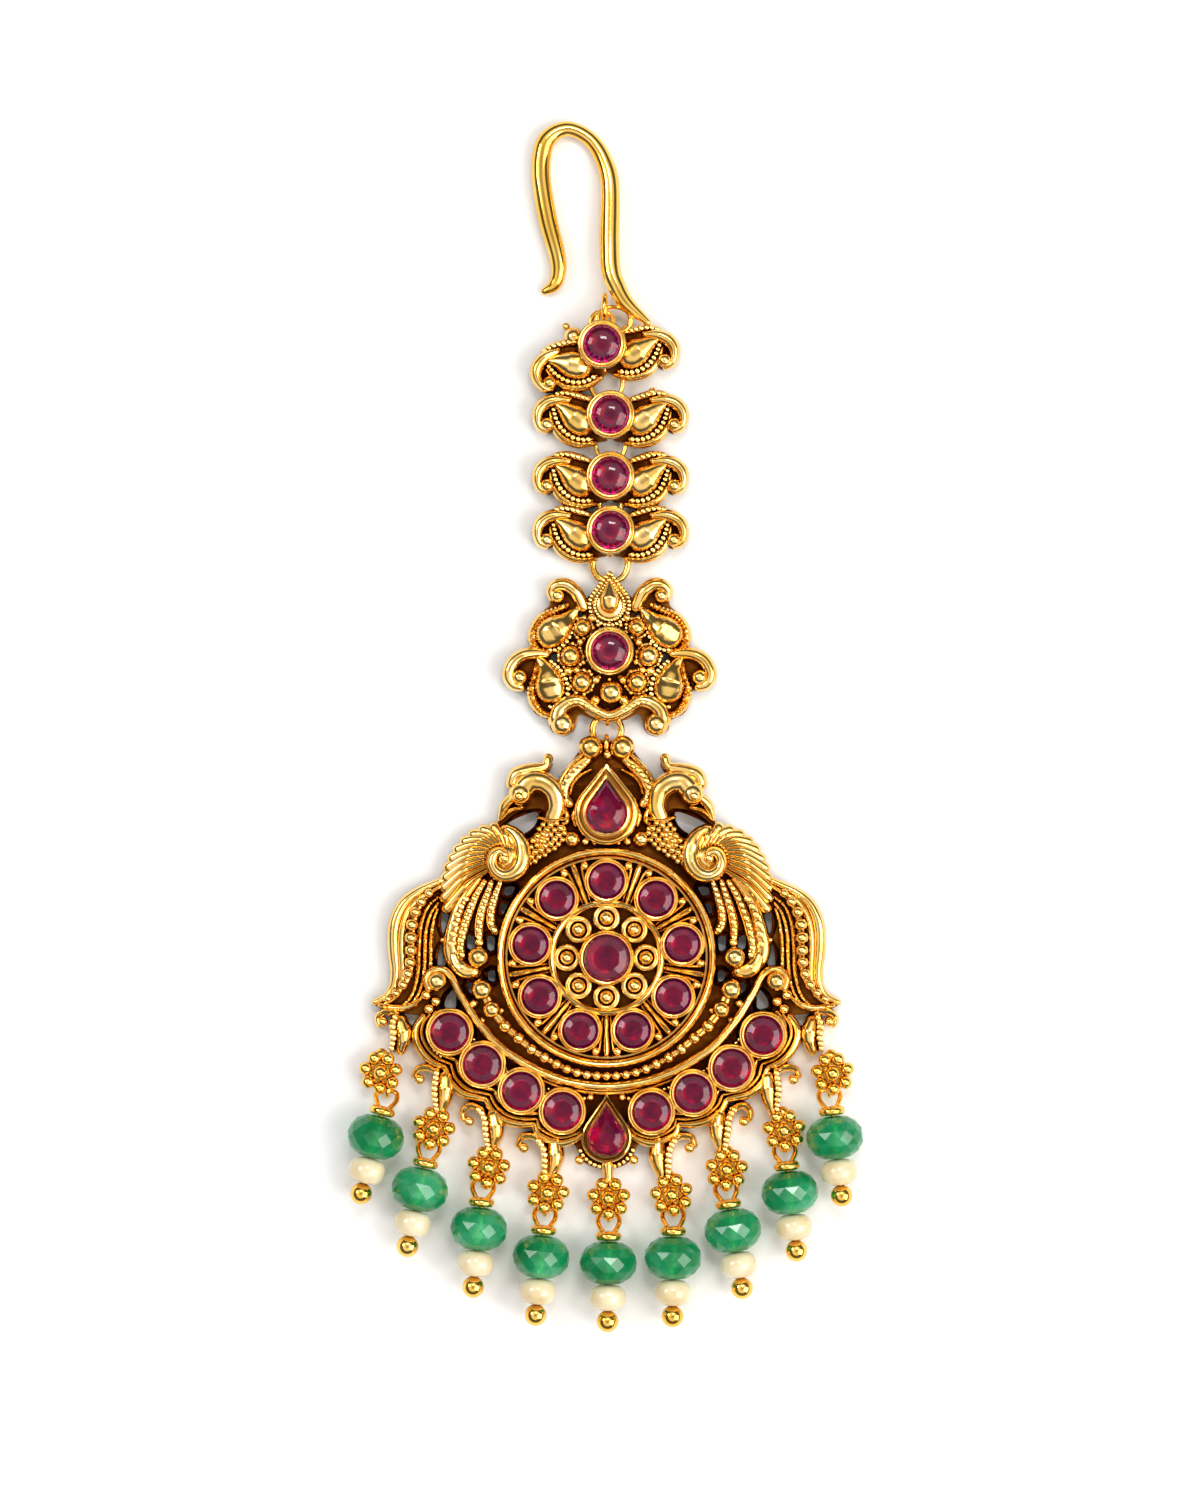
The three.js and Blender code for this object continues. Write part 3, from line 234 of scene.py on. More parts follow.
def circle(centre, radius, count, phase=0.0):
    angle = phase + np.linspace(0, 2 * math.pi, count, endpoint=False)
    return np.column_stack([centre[0] + radius * np.cos(angle), centre[1] + radius * np.sin(angle)])


def lathe(skin, profile, centre, around=48):
    """A body turned about an upright axis, from rows of radius and height, open at neither end."""
    skin.rings([np.column_stack([circle(centre, max(radius, 0.001), around), np.full(around, height)])
                for radius, height in profile])


def wall(skin, rows):
    """A closed ring: rows of equally many points, each joined to the next and the last to the first."""
    count = len(rows)
    around = len(rows[0])
    faces = []
    for i in range(count):
        j = (i + 1) % count
        for k in range(around):
            n = (k + 1) % around
            faces.append((i * around + k, i * around + n, j * around + n, j * around + k))
    skin.add(np.vstack(rows), faces)


def ring_wall(skin, centre, profile, around=48):
    """A closed ring turned about an upright axis, from a closed profile."""
    wall(skin, [np.column_stack([circle(centre, radius, around), np.full(around, height)])
                for radius, height in profile])


def torus(skin, centre, radius, wire, axis=(0, 0, 1), around=40, section=12, squash=1):
    facing = Vector((0, 0, 1)).rotation_difference(Vector(axis))
    points = []
    for a in np.linspace(0, 2 * math.pi, around, endpoint=False):
        for b in np.linspace(0, 2 * math.pi, section, endpoint=False):
            reach = radius + wire * math.cos(b)
            local = Vector((reach * math.cos(a), reach * math.sin(a) * squash, wire * math.sin(b)))
            points.append(Vector(centre) + facing @ local)
    faces = []
    for i in range(around):
        for k in range(section):
            j, n = (i + 1) % around, (k + 1) % section
            faces.append((i * section + k, j * section + k, j * section + n, i * section + n))
    skin.add(points, faces)


def plate(skin, outline, holes, low, top, bevel=0.12):
    """A flat plate with holes through it and soft edges."""
    curve = bpy.data.curves.new("outline", "CURVE")
    curve.dimensions = "2D"
    curve.fill_mode = "BOTH"
    curve.extrude = (top - low) / 2 - bevel
    curve.bevel_depth = bevel
    curve.bevel_resolution = 1
    curve.offset = -bevel
    for row in [outline, *holes]:
        spline = curve.splines.new("POLY")
        spline.points.add(len(row) - 1)
        for point, place in zip(spline.points, row):
            point.co = (place[0], place[1], 0, 1)
        spline.use_cyclic_u = True
    holder = bpy.data.objects.new("outline", curve)
    mesh = bpy.data.meshes.new_from_object(holder)
    lift = (low + top) / 2
    skin.add([(v.co.x, v.co.y, v.co.z + lift) for v in mesh.vertices], [tuple(f.vertices) for f in mesh.polygons])
    bpy.data.objects.remove(holder)
    bpy.data.curves.remove(curve)
    bpy.data.meshes.remove(mesh)


def whole(half, step=0.35):
    """A half outline, smoothed, with its mirror image."""
    line = smooth(half, step)
    return np.vstack([line, (line * (-1, 1))[::-1][1:-1]])


# Section of a bezel's lip: share of its width, and height from its top.
LIP = [(1, -0.8), (1.02, -0.5), (0.95, -0.32), (0.8, -0.25), (0.66, -0.27), (0.58, -0.3), (0.52, -0.12), (0.36, 0),
       (0.15, -0.02), (-0.02, -0.12), (-0.12, -0.3), (-0.12, -0.5)]


def bezel(skin, centre, stone, low, top, wide=0.6, around=48):
    """A round collar with a rolled lip about a stone."""
    profile = [(stone + wide, low), *[(stone + out * wide, top + up) for out, up in LIP], (stone - 0.12 * wide, low)]
    ring_wall(skin, centre, profile, around)


def drop_collar(skin, drop, section):
    """A drop-shaped setting: an inner lip, a groove and an outer rim, from rows of growth and height."""
    rows = []
    for extra, height in section:
        outline = drop_outline(*drop, extra=extra)
        rows.append(np.column_stack([outline, np.full(len(outline), height)]))
    wall(skin, rows)


def shade_node(tree, kind, **values):
    node = tree.nodes.new(kind)
    for name, value in values.items():
        setattr(node, name, value)
    return node


def new_material(name):
    material = bpy.data.materials.new(name)
    material.use_nodes = True
    tree = material.node_tree
    return material, tree, tree.nodes["Principled BSDF"]


def ramp(tree, source, stops):
    node = shade_node(tree, "ShaderNodeValToRGB")
    tree.links.new(source, node.inputs["Fac"])
    elements = node.color_ramp.elements
    while len(elements) < len(stops):
        elements.new(0.5)
    for element, (place, colour) in zip(elements, stops):
        element.position = place
        element.color = (*colour, 1)
    return node.outputs["Color"]


def noise(tree, scale, detail=3.0):
    place = shade_node(tree, "ShaderNodeNewGeometry")
    node = shade_node(tree, "ShaderNodeTexNoise")
    node.inputs["Scale"].default_value = scale
    node.inputs["Detail"].default_value = detail
    tree.links.new(place.outputs["Position"], node.inputs["Vector"])
    return node.outputs["Fac"]


def bump(tree, shader, source, strength, distance):
    node = shade_node(tree, "ShaderNodeBump")
    node.inputs["Strength"].default_value = strength
    node.inputs["Distance"].default_value = distance
    tree.links.new(source, node.inputs["Height"])
    tree.links.new(node.outputs["Normal"], shader.inputs["Normal"])


def gold(name, light, deep, patina_and_shade, reach, roughness, grain):
    """Cast gold: a warm tone that wanders a little, and brown patina with painted shade where it is hemmed in: an
    occlusion mask darkens the base colour there.
    """
    material, tree, shader = new_material(name)
    tone = ramp(tree, noise(tree, 350), [(0.35, deep), (0.65, light)])
    # Painted shade: the occlusion mask darkens the colour in hollows and between parts.
    shade_mask = shade_node(tree, "ShaderNodeAmbientOcclusion", samples=6)
    shade_mask.inputs["Distance"].default_value = reach
    shade = ramp(tree, shade_mask.outputs["AO"], patina_and_shade)
    mix = shade_node(tree, "ShaderNodeMix", data_type="RGBA", blend_type="MULTIPLY")
    mix.inputs["Factor"].default_value = 1
    tree.links.new(tone, mix.inputs["A"])
    tree.links.new(shade, mix.inputs["B"])
    tree.links.new(mix.outputs["Result"], shader.inputs["Base Color"])
    shader.inputs["Metallic"].default_value = 1
    wear = shade_node(tree, "ShaderNodeMapRange")
    wear.inputs["To Min"].default_value = roughness[0]
    wear.inputs["To Max"].default_value = roughness[1]
    tree.links.new(noise(tree, 900), wear.inputs["Value"])
    tree.links.new(wear.outputs["Result"], shader.inputs["Roughness"])
    bump(tree, shader, noise(tree, 1400, 2.0), grain, 0.0001)
    return material


# Occlusion ramps: painted shade in hollows and between parts. On the antique and floor gold it is painted shade with
# patina, and the floor ramp also darkens open floor to about half. On the polished gold it is painted shade only.
PATINA_AND_SHADE = [(0.08, (0.02, 0.005, 0.001)), (0.22, (0.4, 0.2, 0.08)), (0.4, (1, 1, 1))]
FLOOR_PATINA_AND_SHADE = [(0.3, (0.02, 0.005, 0.002)), (0.75, (0.22, 0.11, 0.05)), (1, (0.55, 0.42, 0.27))]
POLISHED_SHADE = [(0.08, (0.3, 0.18, 0.08)), (0.35, (1, 1, 1))]
antique = gold("antique_gold", (1, 0.67, 0.235), (0.92, 0.53, 0.115), PATINA_AND_SHADE, 0.0008, (0.1, 0.22), 0.2)
ground = gold("patina_and_shade_gold", (0.85, 0.5, 0.12), (0.68, 0.34, 0.07), FLOOR_PATINA_AND_SHADE, 0.0016, (0.25, 0.4), 0.5)
polished = gold("polished_gold", (1, 0.63, 0.15), (0.95, 0.53, 0.08), POLISHED_SHADE, 0.0008, (0.06, 0.12), 0.04)


def ruby_material():
    """Deep magenta-red glass, clearer in some places than in others."""
    material, tree, shader = new_material("ruby")
    tone = ramp(tree, noise(tree, 500), [(0.3, (0.38, 0, 0.11)), (0.7, (0.62, 0, 0.22))])
    tree.links.new(tone, shader.inputs["Base Color"])
    shader.inputs["Roughness"].default_value = 0.04
    shader.inputs["IOR"].default_value = 1.5
    shader.inputs["Transmission Weight"].default_value = 0.9
    shader.inputs["Specular IOR Level"].default_value = 0.5
    bump(tree, shader, noise(tree, 1200, 1.0), 0.04, 0.0001)
    return material


def foil_material():
    """The red foil behind the stones."""
    material, tree, shader = new_material("foil")
    tone = ramp(tree, noise(tree, 900), [(0.35, (0.22, 0.001, 0.03)), (0.65, (0.95, 0.01, 0.22))])
    tree.links.new(tone, shader.inputs["Base Color"])
    shader.inputs["Metallic"].default_value = 0.9
    shader.inputs["Roughness"].default_value = 0.3
    return material


def green_material():
    """Cloudy green stone that lets some light through."""
    material, tree, shader = new_material("green_stone")
    tone = ramp(tree, noise(tree, 260, 4.0), [(0.3, (0.004, 0.25, 0.07)), (0.5, (0.01, 0.4, 0.14)),
                                              (0.72, (0.1, 0.65, 0.32))])
    tree.links.new(tone, shader.inputs["Base Color"])
    shader.inputs["Roughness"].default_value = 0.1
    shader.inputs["IOR"].default_value = 1.54
    shader.inputs["Transmission Weight"].default_value = 0.5
    shader.inputs["Subsurface Weight"].default_value = 0.4
    shader.inputs["Subsurface Radius"].default_value = (0.4, 1.0, 0.5)
    shader.inputs["Subsurface Scale"].default_value = 0.002
    bump(tree, shader, noise(tree, 700), 0.05, 0.0001)
    return material


def pearl_material():
    """Cream pearl with a soft lustre."""
    material, tree, shader = new_material("pearl")
    tone = ramp(tree, noise(tree, 400), [(0.3, (0.72, 0.53, 0.26)), (0.7, (0.86, 0.76, 0.52))])
    tree.links.new(tone, shader.inputs["Base Color"])
    shader.inputs["Roughness"].default_value = 0.22
    shader.inputs["Coat Weight"].default_value = 0.6
    shader.inputs["Coat Roughness"].default_value = 0.12
    shader.inputs["Sheen Weight"].default_value = 0.15
    bump(tree, shader, noise(tree, 900), 0.08, 0.0001)
    return material


ruby = ruby_material()
foil = foil_material()
green = green_material()
pearl = pearl_material()


def make(name, skin, material, nodes, angle=38):
    """One piece of the jewel: it rides with the body and stands for the given nodes."""
    mesh = bpy.data.meshes.new(name)
    mesh.from_pydata([tuple(c * PART for c in point) for point in skin.points], [], skin.faces)
    work = bmesh.new()
    work.from_mesh(mesh)
    bmesh.ops.remove_doubles(work, verts=work.verts, dist=PART * 0.002)
    bmesh.ops.recalc_face_normals(work, faces=work.faces)
    work.to_mesh(mesh)
    work.free()
    if angle:
        mesh.shade_smooth()
        mesh.set_sharp_from_angle(angle=math.radians(angle))
    mesh.materials.append(material)
    piece = bpy.data.objects.new(name, mesh)
    bpy.context.scene.collection.objects.link(piece)
    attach(piece, "root")
    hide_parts(*nodes)
    return piece


# Pendant, right half: the outline of the whole plate and the openings through it.
PENDANT_OUTLINE = [(0, 21.2), (1, 22), (2.2, 21.9), (2.8, 20.6), (4.1, 18.9), (4.8, 17.4), (5.8, 18.2), (5.4, 19.3),
                   (5.9, 20.1), (6.7, 19.3), (9.1, 18.9), (9.8, 17.6), (9.8, 16.2), (10.8, 13.6), (11.5, 13.1),
                   (12.8, 12.6), (14, 12), (15.4, 10.3), (16.1, 8.2), (17.6, 7.5), (19.3, 6.7), (20.8, 5.3),
                   (21.5, 3.2), (21.5, -0.6), (21.6, -2.8), (22.3, -3.8), (23.5, -4.45), (22.2, -5.3), (19.8, -5.7),
                   (18.8, -5.9), (19.3, -7.4), (18.8, -9.5), (17.6, -10.7), (16.3, -11.2), (15.8, -12.6),
                   (14.6, -13.8), (12.2, -14.4), (11.5, -15.6), (10.3, -16.6), (8.6, -17), (7.4, -17), (6.8, -18.1),
                   (4.6, -18.9), (3.3, -18.7), (2.4, -20.4), (1.1, -21.1), (0, -21.2)]
PENDANT_GAPS = [[(6.9, 14.5), (8.3, 14.2), (10, 13.2), (8.6, 12.3), (7.2, 13.2)],
                [(15.8, 4.3), (16.5, 4.4), (16.5, 2.5), (15.8, 2.4)],
                [(15.9, 1.1), (16.7, 1.1), (16.9, -1), (16.2, -0.9)],
                [(13.2, 1.9), (13.9, 2.2), (13.9, 0.9), (13.2, 0.8)],
                [(15.2, -3.2), (16, -4), (16.2, -5), (15.1, -5.1)],
                [(9.2, 7), (10.1, 7), (10.3, 6.3), (9.6, 6.2)],
                [(9.9, 5.3), (10.5, 5.3), (10.6, 4.5), (10.3, 4.4)],
                [(11.2, 2), (11.9, 2.1), (11.9, 0.8), (11.3, 0.7)],
                [(11.2, -1.3), (11.9, -1.5), (11.8, -2.3), (11.2, -2.4)],
                [(13, -2.6), (13.9, -2.6), (13.9, -3.4), (13.2, -3.6)],
                [(13.5, -7.2), (14, -7.3), (13.8, -7.9), (13.4, -7.8)]]


def pendant_plate():
    skin = Skin()
    gaps = [smooth(at(gap, side), 0.4, closed=True) for gap in PENDANT_GAPS for side in (1, -1)]
    plate(skin, whole(PENDANT_OUTLINE), gaps, 0, PLATE_TOP)
    make("pendant_plate", skin, ground, ["pendant"])
    # Raised rims round the openings, like the frame's bars. They shade the floor seen through the openings, and their
    # floor gold darkens them further with painted shade and patina.
    rims = Skin()
    for gap in gaps:
        hem = [(0, 0.02), (0, 1.85), (0.04, 1.9), (0.5, 1.46), (0.5, 0.6)]
        middle_place = gap.mean(axis=0)
        out = (gap - middle_place) / np.linalg.norm(gap - middle_place, axis=1)[:, None]
        wall(rims, [np.column_stack([gap + out * grow, np.full(len(gap), height)]) for grow, height in hem])
    make("opening_rims", rims, ground, ["pendant"])


# Wheel: rows of radius and height of its turned face.
WHEEL_FACE = [(0, 0), (10.9, 0), (11, 0.15), (11, 2.5), (10.96, 2.75), (10.86, 2.95), (10.7, 3.08), (10.52, 3.05),
              (10.38, 2.9), (10.3, 2.7), (10.25, 2.5), (10.2, 2.4), (10.15, 2.55), (10.05, 2.68), (9.92, 2.68),
              (9.82, 2.5), (9.78, 2.2), (9.74, WHEEL_FLOOR), (5.98, WHEEL_FLOOR), (5.92, 2.2), (5.84, 2.5),
              (5.7, 2.72), (5.5, 2.8), (5.3, 2.72), (5.16, 2.5), (5.08, 2.2), (5.02, 1.7), (0, 1.7)]


def wheel():
    disc = Skin()
    lathe(disc, WHEEL_FACE, (0, 0), 96)
    make("wheel_disc", disc, antique, ["pendant"])
    floors = Skin()
    lathe(floors, [(0, 1.6), (5.1, 1.6), (5.1, 1.73), (0, 1.73)], (0, 0), 64)
    ring_wall(floors, (0, 0), [(5.95, 1.6), (9.76, 1.6), (9.76, WHEEL_FLOOR + 0.03), (5.95, WHEEL_FLOOR + 0.03)], 96)
    make("wheel_floors", floors, ground, ["pendant"])
    skin = Skin()
    for k in range(WHEEL_STONES):
        degrees = 360 * k / WHEEL_STONES
        centre = at((0, WHEEL_STONE_CIRCLE), degrees=degrees)
        bezel(skin, centre, RUBY_RADIUS, 1, BEZEL_TOP, 0.45)
        between = degrees + 180 / WHEEL_STONES
        sweep(skin, at([(0, 6), (0, 9.6)], degrees=between), [0.5, 0.72], 1.2, 2.8)
        for side in (1, -1):
            sweep(skin, at([(0.42, 6), (0.5, 7.6), (0.78, 9.5)], side, degrees=between), [0.34, 0.46], 1.2, 2.45)
            x, y = at((0, 9.42), degrees=between + side * 6.6)
            ball(skin, (x, y, 2.3), 0.46)
    for k in range(CUPS):
        centre = at((0, CUP_CIRCLE), degrees=360 * k / CUPS)
        torus(skin, (centre[0], centre[1], 2.25), 1.08, 0.3, around=32, section=10)
        ball(skin, (centre[0], centre[1], 2.5), 0.68, 20, 11)
    bezel(skin, (0, 0), 2.35, 1.2, 4.0, 0.4)
    make("wheel_relief", skin, antique, ["pendant"])


# Crown over the wheel.
CROWN_DROP = ((0, 17.8), (0, 14.45), 1.95)
FOOT_DROP = ((0, -14.6), (0, -17.95), 1.78)
COLLAR = [(1.3, 0.4), (1.3, 2.5), (1.24, 2.8), (1.08, 3.02), (0.88, 3.08), (0.7, 2.95), (0.6, 2.75), (0.54, 2.75),
          (0.48, 3.1), (0.34, 3.42), (0.16, 3.5), (0, 3.4), (-0.1, 3.15), (-0.1, 0.4)]
CROWN_BAND = [(2, 19.4), (3, 18.9), (3.8, 18), (4.3, 17), (4.2, 16), (3.7, 15.4)]


def crown():
    skin = Skin()
    drop_collar(skin, CROWN_DROP, COLLAR)
    drop_collar(skin, FOOT_DROP, [(grow * 0.6, height) for grow, height in COLLAR])
    for side in (1, -1):
        sweep(skin, at([(1.9, 19.8), *CROWN_BAND[1:]], side), [1.0, 1.6, 1.5, 1.1], 1, 2.3)
        sweep(skin, at([(2.5, 20.2), (3.6, 19.2), (4.5, 17.9), (4.8, 16.8), (4.6, 15.6)], side), [0.4, 0.55, 0.4], 1, 2.55)
        sweep(skin, at([(1.5, 18.8), (2.6, 18.2), (3.3, 17.4), (3.6, 16.4)], side), [0.3, 0.4, 0.3], 1, 2.45)
        grains(skin, at(CROWN_BAND, side), [0.22, 0.32, 0.32, 0.22], 2.4, 1.12)
        ball(skin, (1.6 * side, 21, 1.95), 1.25, 24, 13)
        sweep(skin, at([(1.6, 20.4), (2.1, 19.6)], side), [1.3, 0.9], 1, 2.3)
        ball(skin, (3.45 * side, 11.85, 2), 0.82, 20, 11)
        ball(skin, (4.4 * side, 12.8, 1.8), 0.5)
        ball(skin, (2.1 * side, 11.6, 1.8), 0.42)
        ball(skin, (1.15 * side, 11.5, 1.8), 0.34)
        sweep(skin, at([(2.9, 15.2), (3.3, 14.2), (3.1, 13.2)], side), [0.5, 0.7, 0.4], 1, 2.4)
        sweep(skin, at([(4.5, 15.2), (4.05, 14.5), (3.95, 13.6), (4.4, 13.4)], side), [0.6, 0.7, 0.5], 1, 2.5)
    ball(skin, (0.1, 20.3, 1.6), 0.5)
    make("crown_relief", skin, antique, ["pendant"])


# Peacock, right-hand one.
NECK = [(5.4, 13.9), (5.0, 15.2), (5.3, 16.6), (6.3, 17.5), (7.5, 17.6), (8.3, 16.9)]
CREST = [(5.9, 19.9), (6.2, 19.1), (7.6, 18.75), (9.0, 18.3), (9.5, 17.4)]
BREAST = [(4.5, 13.5), (6.4, 13.5), (7.1, 12.7), (8.1, 11.9), (7.9, 10.6), (7.7, 9.5), (6.8, 9.6), (5.6, 10.7), (4.9, 12)]
HEAD = (8.6, 16.4)


def peacock(skin, side):
    put = lambda points: at(points, side)
    sweep(skin, put(NECK), [1.9, 2.0, 2.2, 2.3, 2.4, 2.4], 1, [2.9, 3.2, 3.4, 3.4, 3.2], around=13)
    x, y = put(HEAD)
    ball(skin, (x, y, 2.3), 1.2, 24, 13)
    x, y = put((8.75, 16.15))
    ball(skin, (x, y, 3.1), 0.58, 20, 11)
    sweep(skin, put([(3.9, 13.95), (5.4, 13.75), (6.8, 14.0)]), [0.45, 0.5, 0.45], 1, 3.0)
    sweep(skin, put(CREST), [0.9, 1.1, 1.5, 1.6, 1.3], 0.8, [2.4, 2.6, 2.9, 2.7], around=11)
    x, y = put((5.85, 19.9))
    ball(skin, (x, y, 1.6), 0.55)
    sweep(skin, put([(9.5, 15.9), (10.2, 15.2), (10.75, 13.7)]), [1.1, 1.05, 0.35], 0.9, [2.8, 2.4, 1.8])
    sweep(skin, put([(8.5, 15.0), (9.6, 14.7), (10.6, 13.7)]), [0.6, 0.5, 0.25], 0.9, [2.3, 2.1, 1.7])
    shell(skin, smooth(put(BREAST), 0.3, closed=True), put((6.3, 11.8)), 1, 2.7)
    for row, count in enumerate([4, 5, 5, 5, 4, 4, 3, 3, 2]):
        start, end = np.array([(4.8, 13.2), (7.9, 9.7)])
        middle_place = start + (end - start) * row / 8
        for k in range(count):
            offset = (k - (count - 1) / 2) * 0.62
            x, y = put(middle_place + np.array([0.62, 0.78]) * offset)
            lift = 2.6 - 0.14 * abs(offset) ** 1.5
            ball(skin, (x, y, lift), 0.38 if k % 2 else 0.32, 10, 6)


# Wing, right-hand one: its spiral, fan and hanging plumes.
SPIRAL = [(9.9, 12.9), (9.2, 12.45), (8.6, 11.6), (8.35, 10.4), (8.6, 9.2), (9.4, 8.4), (10.4, 8.25), (11.2, 8.8),
          (11.45, 9.6), (11.2, 10.35), (10.6, 10.6), (10.15, 10.3)]
SHORT_RIBS = [[(9.15, 10.0), (9.3, 11.2), (9.85, 12.2)], [(9.5, 10.3), (9.8, 11.4), (10.5, 12.4)],
              [(10.0, 10.9), (10.4, 11.6), (11.1, 12.5)]]
SCALLOPS = [(10.1, 12.75), (11.2, 13.0), (12.3, 12.75), (13.3, 12.3), (14.15, 11.6), (14.85, 10.8), (15.4, 9.9),
            (15.8, 9.0), (16.05, 8.0), (16.2, 7.0), (16.2, 6.0), (16.0, 4.9)]
PLUMES = [[(10.6, 7.6), (11.1, 6.2), (11.5, 4.8), (11.55, 3.4), (11.1, 2.6)],
          [(11.5, 7.6), (12.0, 6.1), (12.5, 4.6), (12.75, 3.2), (12.75, 2)],
          [(12.2, 7.6), (13.1, 6.1), (13.8, 4.4), (14.3, 2.8), (14.6, 1.2), (14.4, 0.2)],
          [(12.8, 7.9), (14.0, 6.4), (14.9, 4.6), (15.4, 2.6), (15.6, 0.8), (15.1, -0.6), (14.1, -1.4), (13.2, -1.5)]]


def wing(skin, side):
    put = lambda points: at(points, side)
    shell(skin, circle(put((10.0, 9.9)), 1.9, 32), put((10.0, 9.9)), 1, 2.8)
    sweep(skin, put(SPIRAL), [0.9, 1.5, 1.9, 2.0, 1.9, 1.7, 1.5, 1.3, 1.0], 1,
          [2.6, 3.3, 3.6, 3.6, 3.5, 3.3], around=15)
    x, y = put((10.25, 9.95))
    ball(skin, (x, y, 2.8), 0.55, 20, 11)
    for rib in SHORT_RIBS:
        sweep(skin, put(rib), [0.5, 0.7, 0.8], 1, [2.3, 2.5, 2.3], step=0.25)
    for k, end in enumerate(SCALLOPS):
        share = k / (len(SCALLOPS) - 1)
        turn = math.radians(112 - 150 * share)
        start = np.array((10.4, 9.9)) + (1.3 + 0.6 * share) * np.array((math.cos(turn), math.sin(turn)))
        bow = np.array((0.12, 0.5 - 0.1 * share))
        mid = (start + np.array(end)) / 2 + bow
        rib = [start, mid, np.array(end)]
        sweep(skin, put(rib), [0.55, 0.9, 1.2], 1, [2.45, 2.65, 2.3], step=0.25)
    for k, plume in enumerate(PLUMES):
        sweep(skin, put(plume), [0.7, 1.0, 1.1, 1.0] if k < 3 else [0.8, 1.2, 1.6, 1.75, 1.6], 1, [2.2, 2.3, 2.3])
        if k < 3:
            grains(skin, put(plume), [0.25, 0.33, 0.38, 0.33], 2.3, 1.05)
        else:
            grains(skin, put([(13.9, 6.2), (14.8, 4.6), (15.3, 2.8), (15.5, 1.2), (15.4, 0.4)]), [0.36, 0.42, 0.42], 2.35, 1.2)
            sweep(skin, put([(15.3, 0.2), (14.9, -0.7), (14.1, -1.3), (13.3, -1.4)]), [1.3, 1.75, 1.85, 1.5], 1, [2.4, 2.8, 2.6],
                  around=13)
    x, y = put((12.8, 0.05))
    ball(skin, (x, y, 2.6), 1.06, 24, 13)
    x, y = put((12.7, 1.5))
    ball(skin, (x, y, 1.9), 0.5)


# Outer tail, right-hand one.
TAIL_OUTER = [(16.4, 7.75), (17.6, 7.2), (18.9, 6.55), (20.2, 5.5), (21.0, 4.0), (21.3, 2.4), (21.25, 0.4), (21.1, -1.3),
              (21.3, -2.8), (22.0, -3.9), (23.2, -4.5)]
TAIL_INNER = [(16.6, 7.1), (17.8, 6.4), (19.0, 5.7), (19.9, 4.5), (20.4, 2.8), (20.5, 0.9), (20.4, -1.0), (20.5, -2.6),
              (21.1, -3.9), (22.3, -4.75)]
TAIL_BALLS = [(17.75, 6.45, 0.38), (18.5, 5.6, 0.44), (19.1, 4.55, 0.5), (19.45, 3.3, 0.56), (19.55, 2.0, 0.58),
              (19.55, 0.75, 0.55), (19.62, -0.45, 0.5), (19.85, -1.6, 0.47), (20.35, -2.7, 0.43), (21.05, -3.55, 0.38),
              (21.85, -4.1, 0.33)]
TAIL_FOOT = [(22.7, -4.75), (21.5, -5.05), (20.4, -5.05), (19.4, -4.7), (18.6, -4.15)]
TAIL_LINES = [[(16.9, 6.0), (17.9, 5.0), (18.55, 3.2), (18.75, 1), (18.8, -1), (19.05, -2.6), (19.6, -4), (20.5, -4.9)],
              [(16.85, 5.4), (17.6, 4.3), (18.05, 2.6), (18.15, 0.8), (18.2, -1), (18.45, -2.7), (19.0, -4.0), (19.8, -4.9)],
              [(16.9, 4.8), (17.3, 3.6), (17.55, 1.6), (17.6, -0.8), (17.85, -2.6), (18.4, -3.8), (19.1, -4.8)]]


def tail(skin, side):
    put = lambda points: at(points, side)
    sweep(skin, put(TAIL_OUTER), [0.7, 1.1, 1.35, 1.35, 1.1, 0.7], 0.6, [2.1, 2.4, 2.35, 2.2, 1.8], around=11)
    sweep(skin, put(TAIL_INNER), [0.5, 0.75, 0.85, 0.85, 0.75, 0.5], 0.8, [2.1, 2.5, 2.45, 2.3, 1.8], around=10)
    sweep(skin, put([row[:2] for row in TAIL_BALLS]), [0.7, 1.0, 1.1, 1.0, 0.7], 1, 1.7)
    for x, y, radius in TAIL_BALLS:
        x, y = put((x, y))
        ball(skin, (x, y, 2.45), radius + 0.07)
    sweep(skin, put(TAIL_FOOT), [0.5, 0.8, 0.9, 0.8, 0.5], 0.6, 2.1)
    for line in TAIL_LINES:
        sweep(skin, put(line), [0.4, 0.56, 0.56, 0.4], 1, [2.0, 2.2, 2.0], ripple=(0.2, 0.42), step=0.1, around=7)
    for place in ((18.05, -3.75), (17.05, -4.4), (17.75, -5.15)):
        x, y = put(place)
        ball(skin, (x, y, 1.9), 0.53)
    x, y = put((16.35, 1.75))
    ball(skin, (x, y, 1.5), 0.32)


# Crescent: rail, grains, rim band and its cusps.
RAIL = [(17.75, -3.1), (18.05, -2.2), (17.55, -1.4), (16.7, -1.15), (15.9, -1.5), (15.3, -2.3), (14.7, -3.5), (13.4, -5.7),
        (12.1, -7.4), (10.6, -9.0), (8.4, -10.5), (6.0, -11.7), (3.5, -12.5), (0, -12.9)]
RAIL_GRAINS = [(10.15, -6.85, 0.67), (8.8, -8.05, 0.62), (7.5, -9.15, 0.58), (6.2, -10.0, 0.55), (5.0, -10.65, 0.53),
               (3.95, -11.15, 0.5), (2.95, -11.5, 0.48), (1.95, -11.72, 0.48), (0.97, -11.82, 0.48)]
RAIL_BALLS = [(16.95, -2.35, 1.0, 2.5), (12.45, -3.15, 1.06, 2.4), (11.47, -5.15, 0.88, 2.35),
              (13.3, -4.6, 0.42, 1.8), (10.5, -5.3, 0.3, 1.8), (12.5, -6.3, 0.36, 1.8)]
